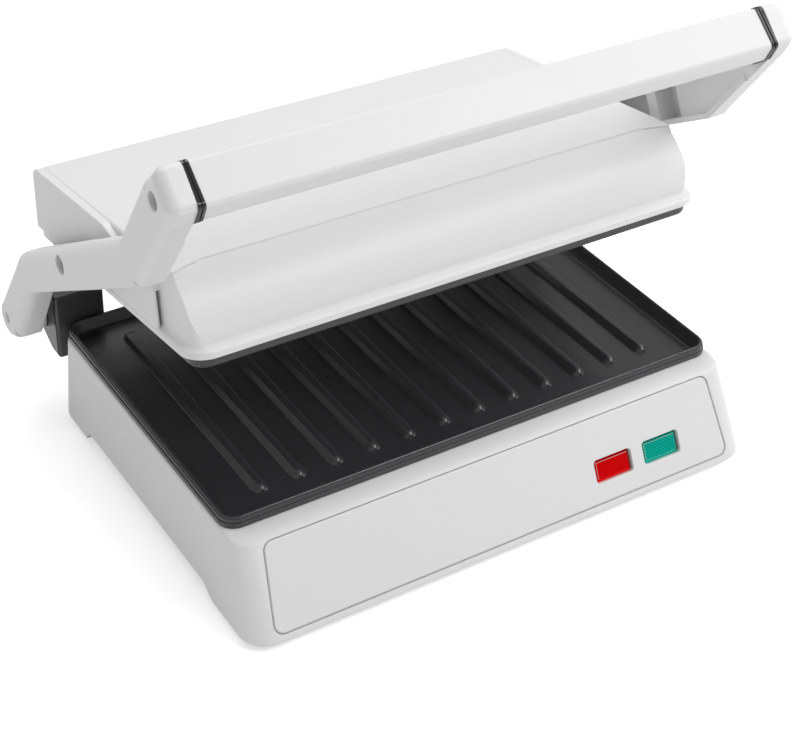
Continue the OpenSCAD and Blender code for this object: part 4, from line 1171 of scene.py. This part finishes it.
# Name, colour, roughness, spread of tone, relief, metallic, coat and nodes
SOLID_FINISHES = (
    ("screw_steel", (0.56, 0.57, 0.58), (0.28, 0.42), 0.08, 0.05, 1.0, 0.0,
     ("base_screws", "lower_plate_screws", "bracket_screws", "upper_plate_screws")),
    ("dark_steel", (0.13, 0.13, 0.135), (0.4, 0.55), 0.15, 0.05, 0.8, 0.0,
     ("hinge_pin_left", "hinge_pin_right", "grip_screws", "lid_pin_left", "lid_pin_right")),
    ("heater_steel", (0.2, 0.2, 0.21), (0.4, 0.55), 0.2, 0.08, 0.9, 0.0,
     ("lower_element", "upper_element", "thermal_fuse")),
    ("bright_sheet", (0.8, 0.81, 0.82), (0.2, 0.34), 0.04, 0.04, 1.0, 0.0,
     ("lower_reflector", "upper_reflector")),
    ("ivory_plastic", (0.72, 0.68, 0.56), (0.42, 0.52), 0.05, 0.02, 0.0, 0.0,
     ("lamp_holder", "terminal_block")),
    ("thermostat_ceramic", (0.7, 0.64, 0.54), (0.5, 0.65), 0.08, 0.02, 0.0, 0.0,
     ("thermostat", "upper_thermostat")),
    ("black_rubber", (0.02, 0.02, 0.02), (0.55, 0.7), 0.2, 0.1, 0.0, 0.0, ("cable_gland", "rubber_feet")),
    ("cover_plastic", (0.5, 0.5, 0.5), (0.42, 0.52), 0.04, 0.05, 0.0, 0.0, ("base_bottom",)),
    ("lamp_glass", (0.85, 0.55, 0.25), (0.08, 0.12), 0.1, 0.02, 0.0, 0.5, ("indicator_lamps",)),
)


class GRILL_OT_finishes(bpy.types.Operator):
    """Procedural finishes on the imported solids"""

    bl_idname = "grill.finishes"
    bl_label = "Finishes"

    def execute(self, context):
        table = [(moulded(name, colour, rough=rough, spread=spread, relief=relief, metallic=metallic,
                          coat=coat), names)
                 for name, colour, rough, spread, relief, metallic, coat, names in SOLID_FINISHES]
        table += [
            (shell_plastic(),
             ("base_shell", "front_panel", "arm_left", "arm_right", "grip_bar", "lid_shell")),
            (coated("plate_coating"), ("lower_plate", "upper_plate")),
            (bracket_plastic(), ("bracket_left", "bracket_right")),
            (ring_plastic(), ("gasket_left", "gasket_right")),
            *((lens_material(tone, diamonds), (f"{tone}_lens",)) for tone, _, diamonds in LENSES)]
        for mat, names in table:
            for name in names:
                NODES[name].data.materials.clear()
                NODES[name].data.materials.append(mat)
        return {"FINISHED"}


class GRILL_PT_panel(bpy.types.Panel):
    """Lists the grill's pieces, sizes and colours"""

    bl_idname = "GRILL_PT_panel"
    bl_label = "Contact Grill"
    bl_space_type = "VIEW_3D"
    bl_region_type = "UI"
    bl_category = "Contact Grill"

    def draw(self, context):
        layout = self.layout
        for settings in (context.scene.grill_shape, context.scene.grill_finish):
            column = layout.column(align=True)
            for key in settings.__annotations__:
                column.prop(settings, key)
        column = layout.column(align=True)
        for step in STEPS:
            column.operator(step.bl_idname)


STEPS = (GRILL_OT_stage, GRILL_OT_finishes, GRILL_OT_arms, GRILL_OT_rings, GRILL_OT_lid,
         GRILL_OT_base, GRILL_OT_front, GRILL_OT_brackets, GRILL_OT_plates)
CLASSES = (GrillShape, GrillFinish, *STEPS, GRILL_PT_panel)


def register():
    for cls in CLASSES:
        bpy.utils.register_class(cls)
    bpy.types.Scene.grill_shape = PointerProperty(type=GrillShape)
    bpy.types.Scene.grill_finish = PointerProperty(type=GrillFinish)


def unregister():
    del bpy.types.Scene.grill_finish
    del bpy.types.Scene.grill_shape
    for cls in reversed(CLASSES):
        bpy.utils.unregister_class(cls)


def main():
    register()
    for step in STEPS:
        group, name = step.bl_idname.split(".")
        getattr(getattr(bpy.ops, group), name)()


if __name__ == "__main__":
    main()
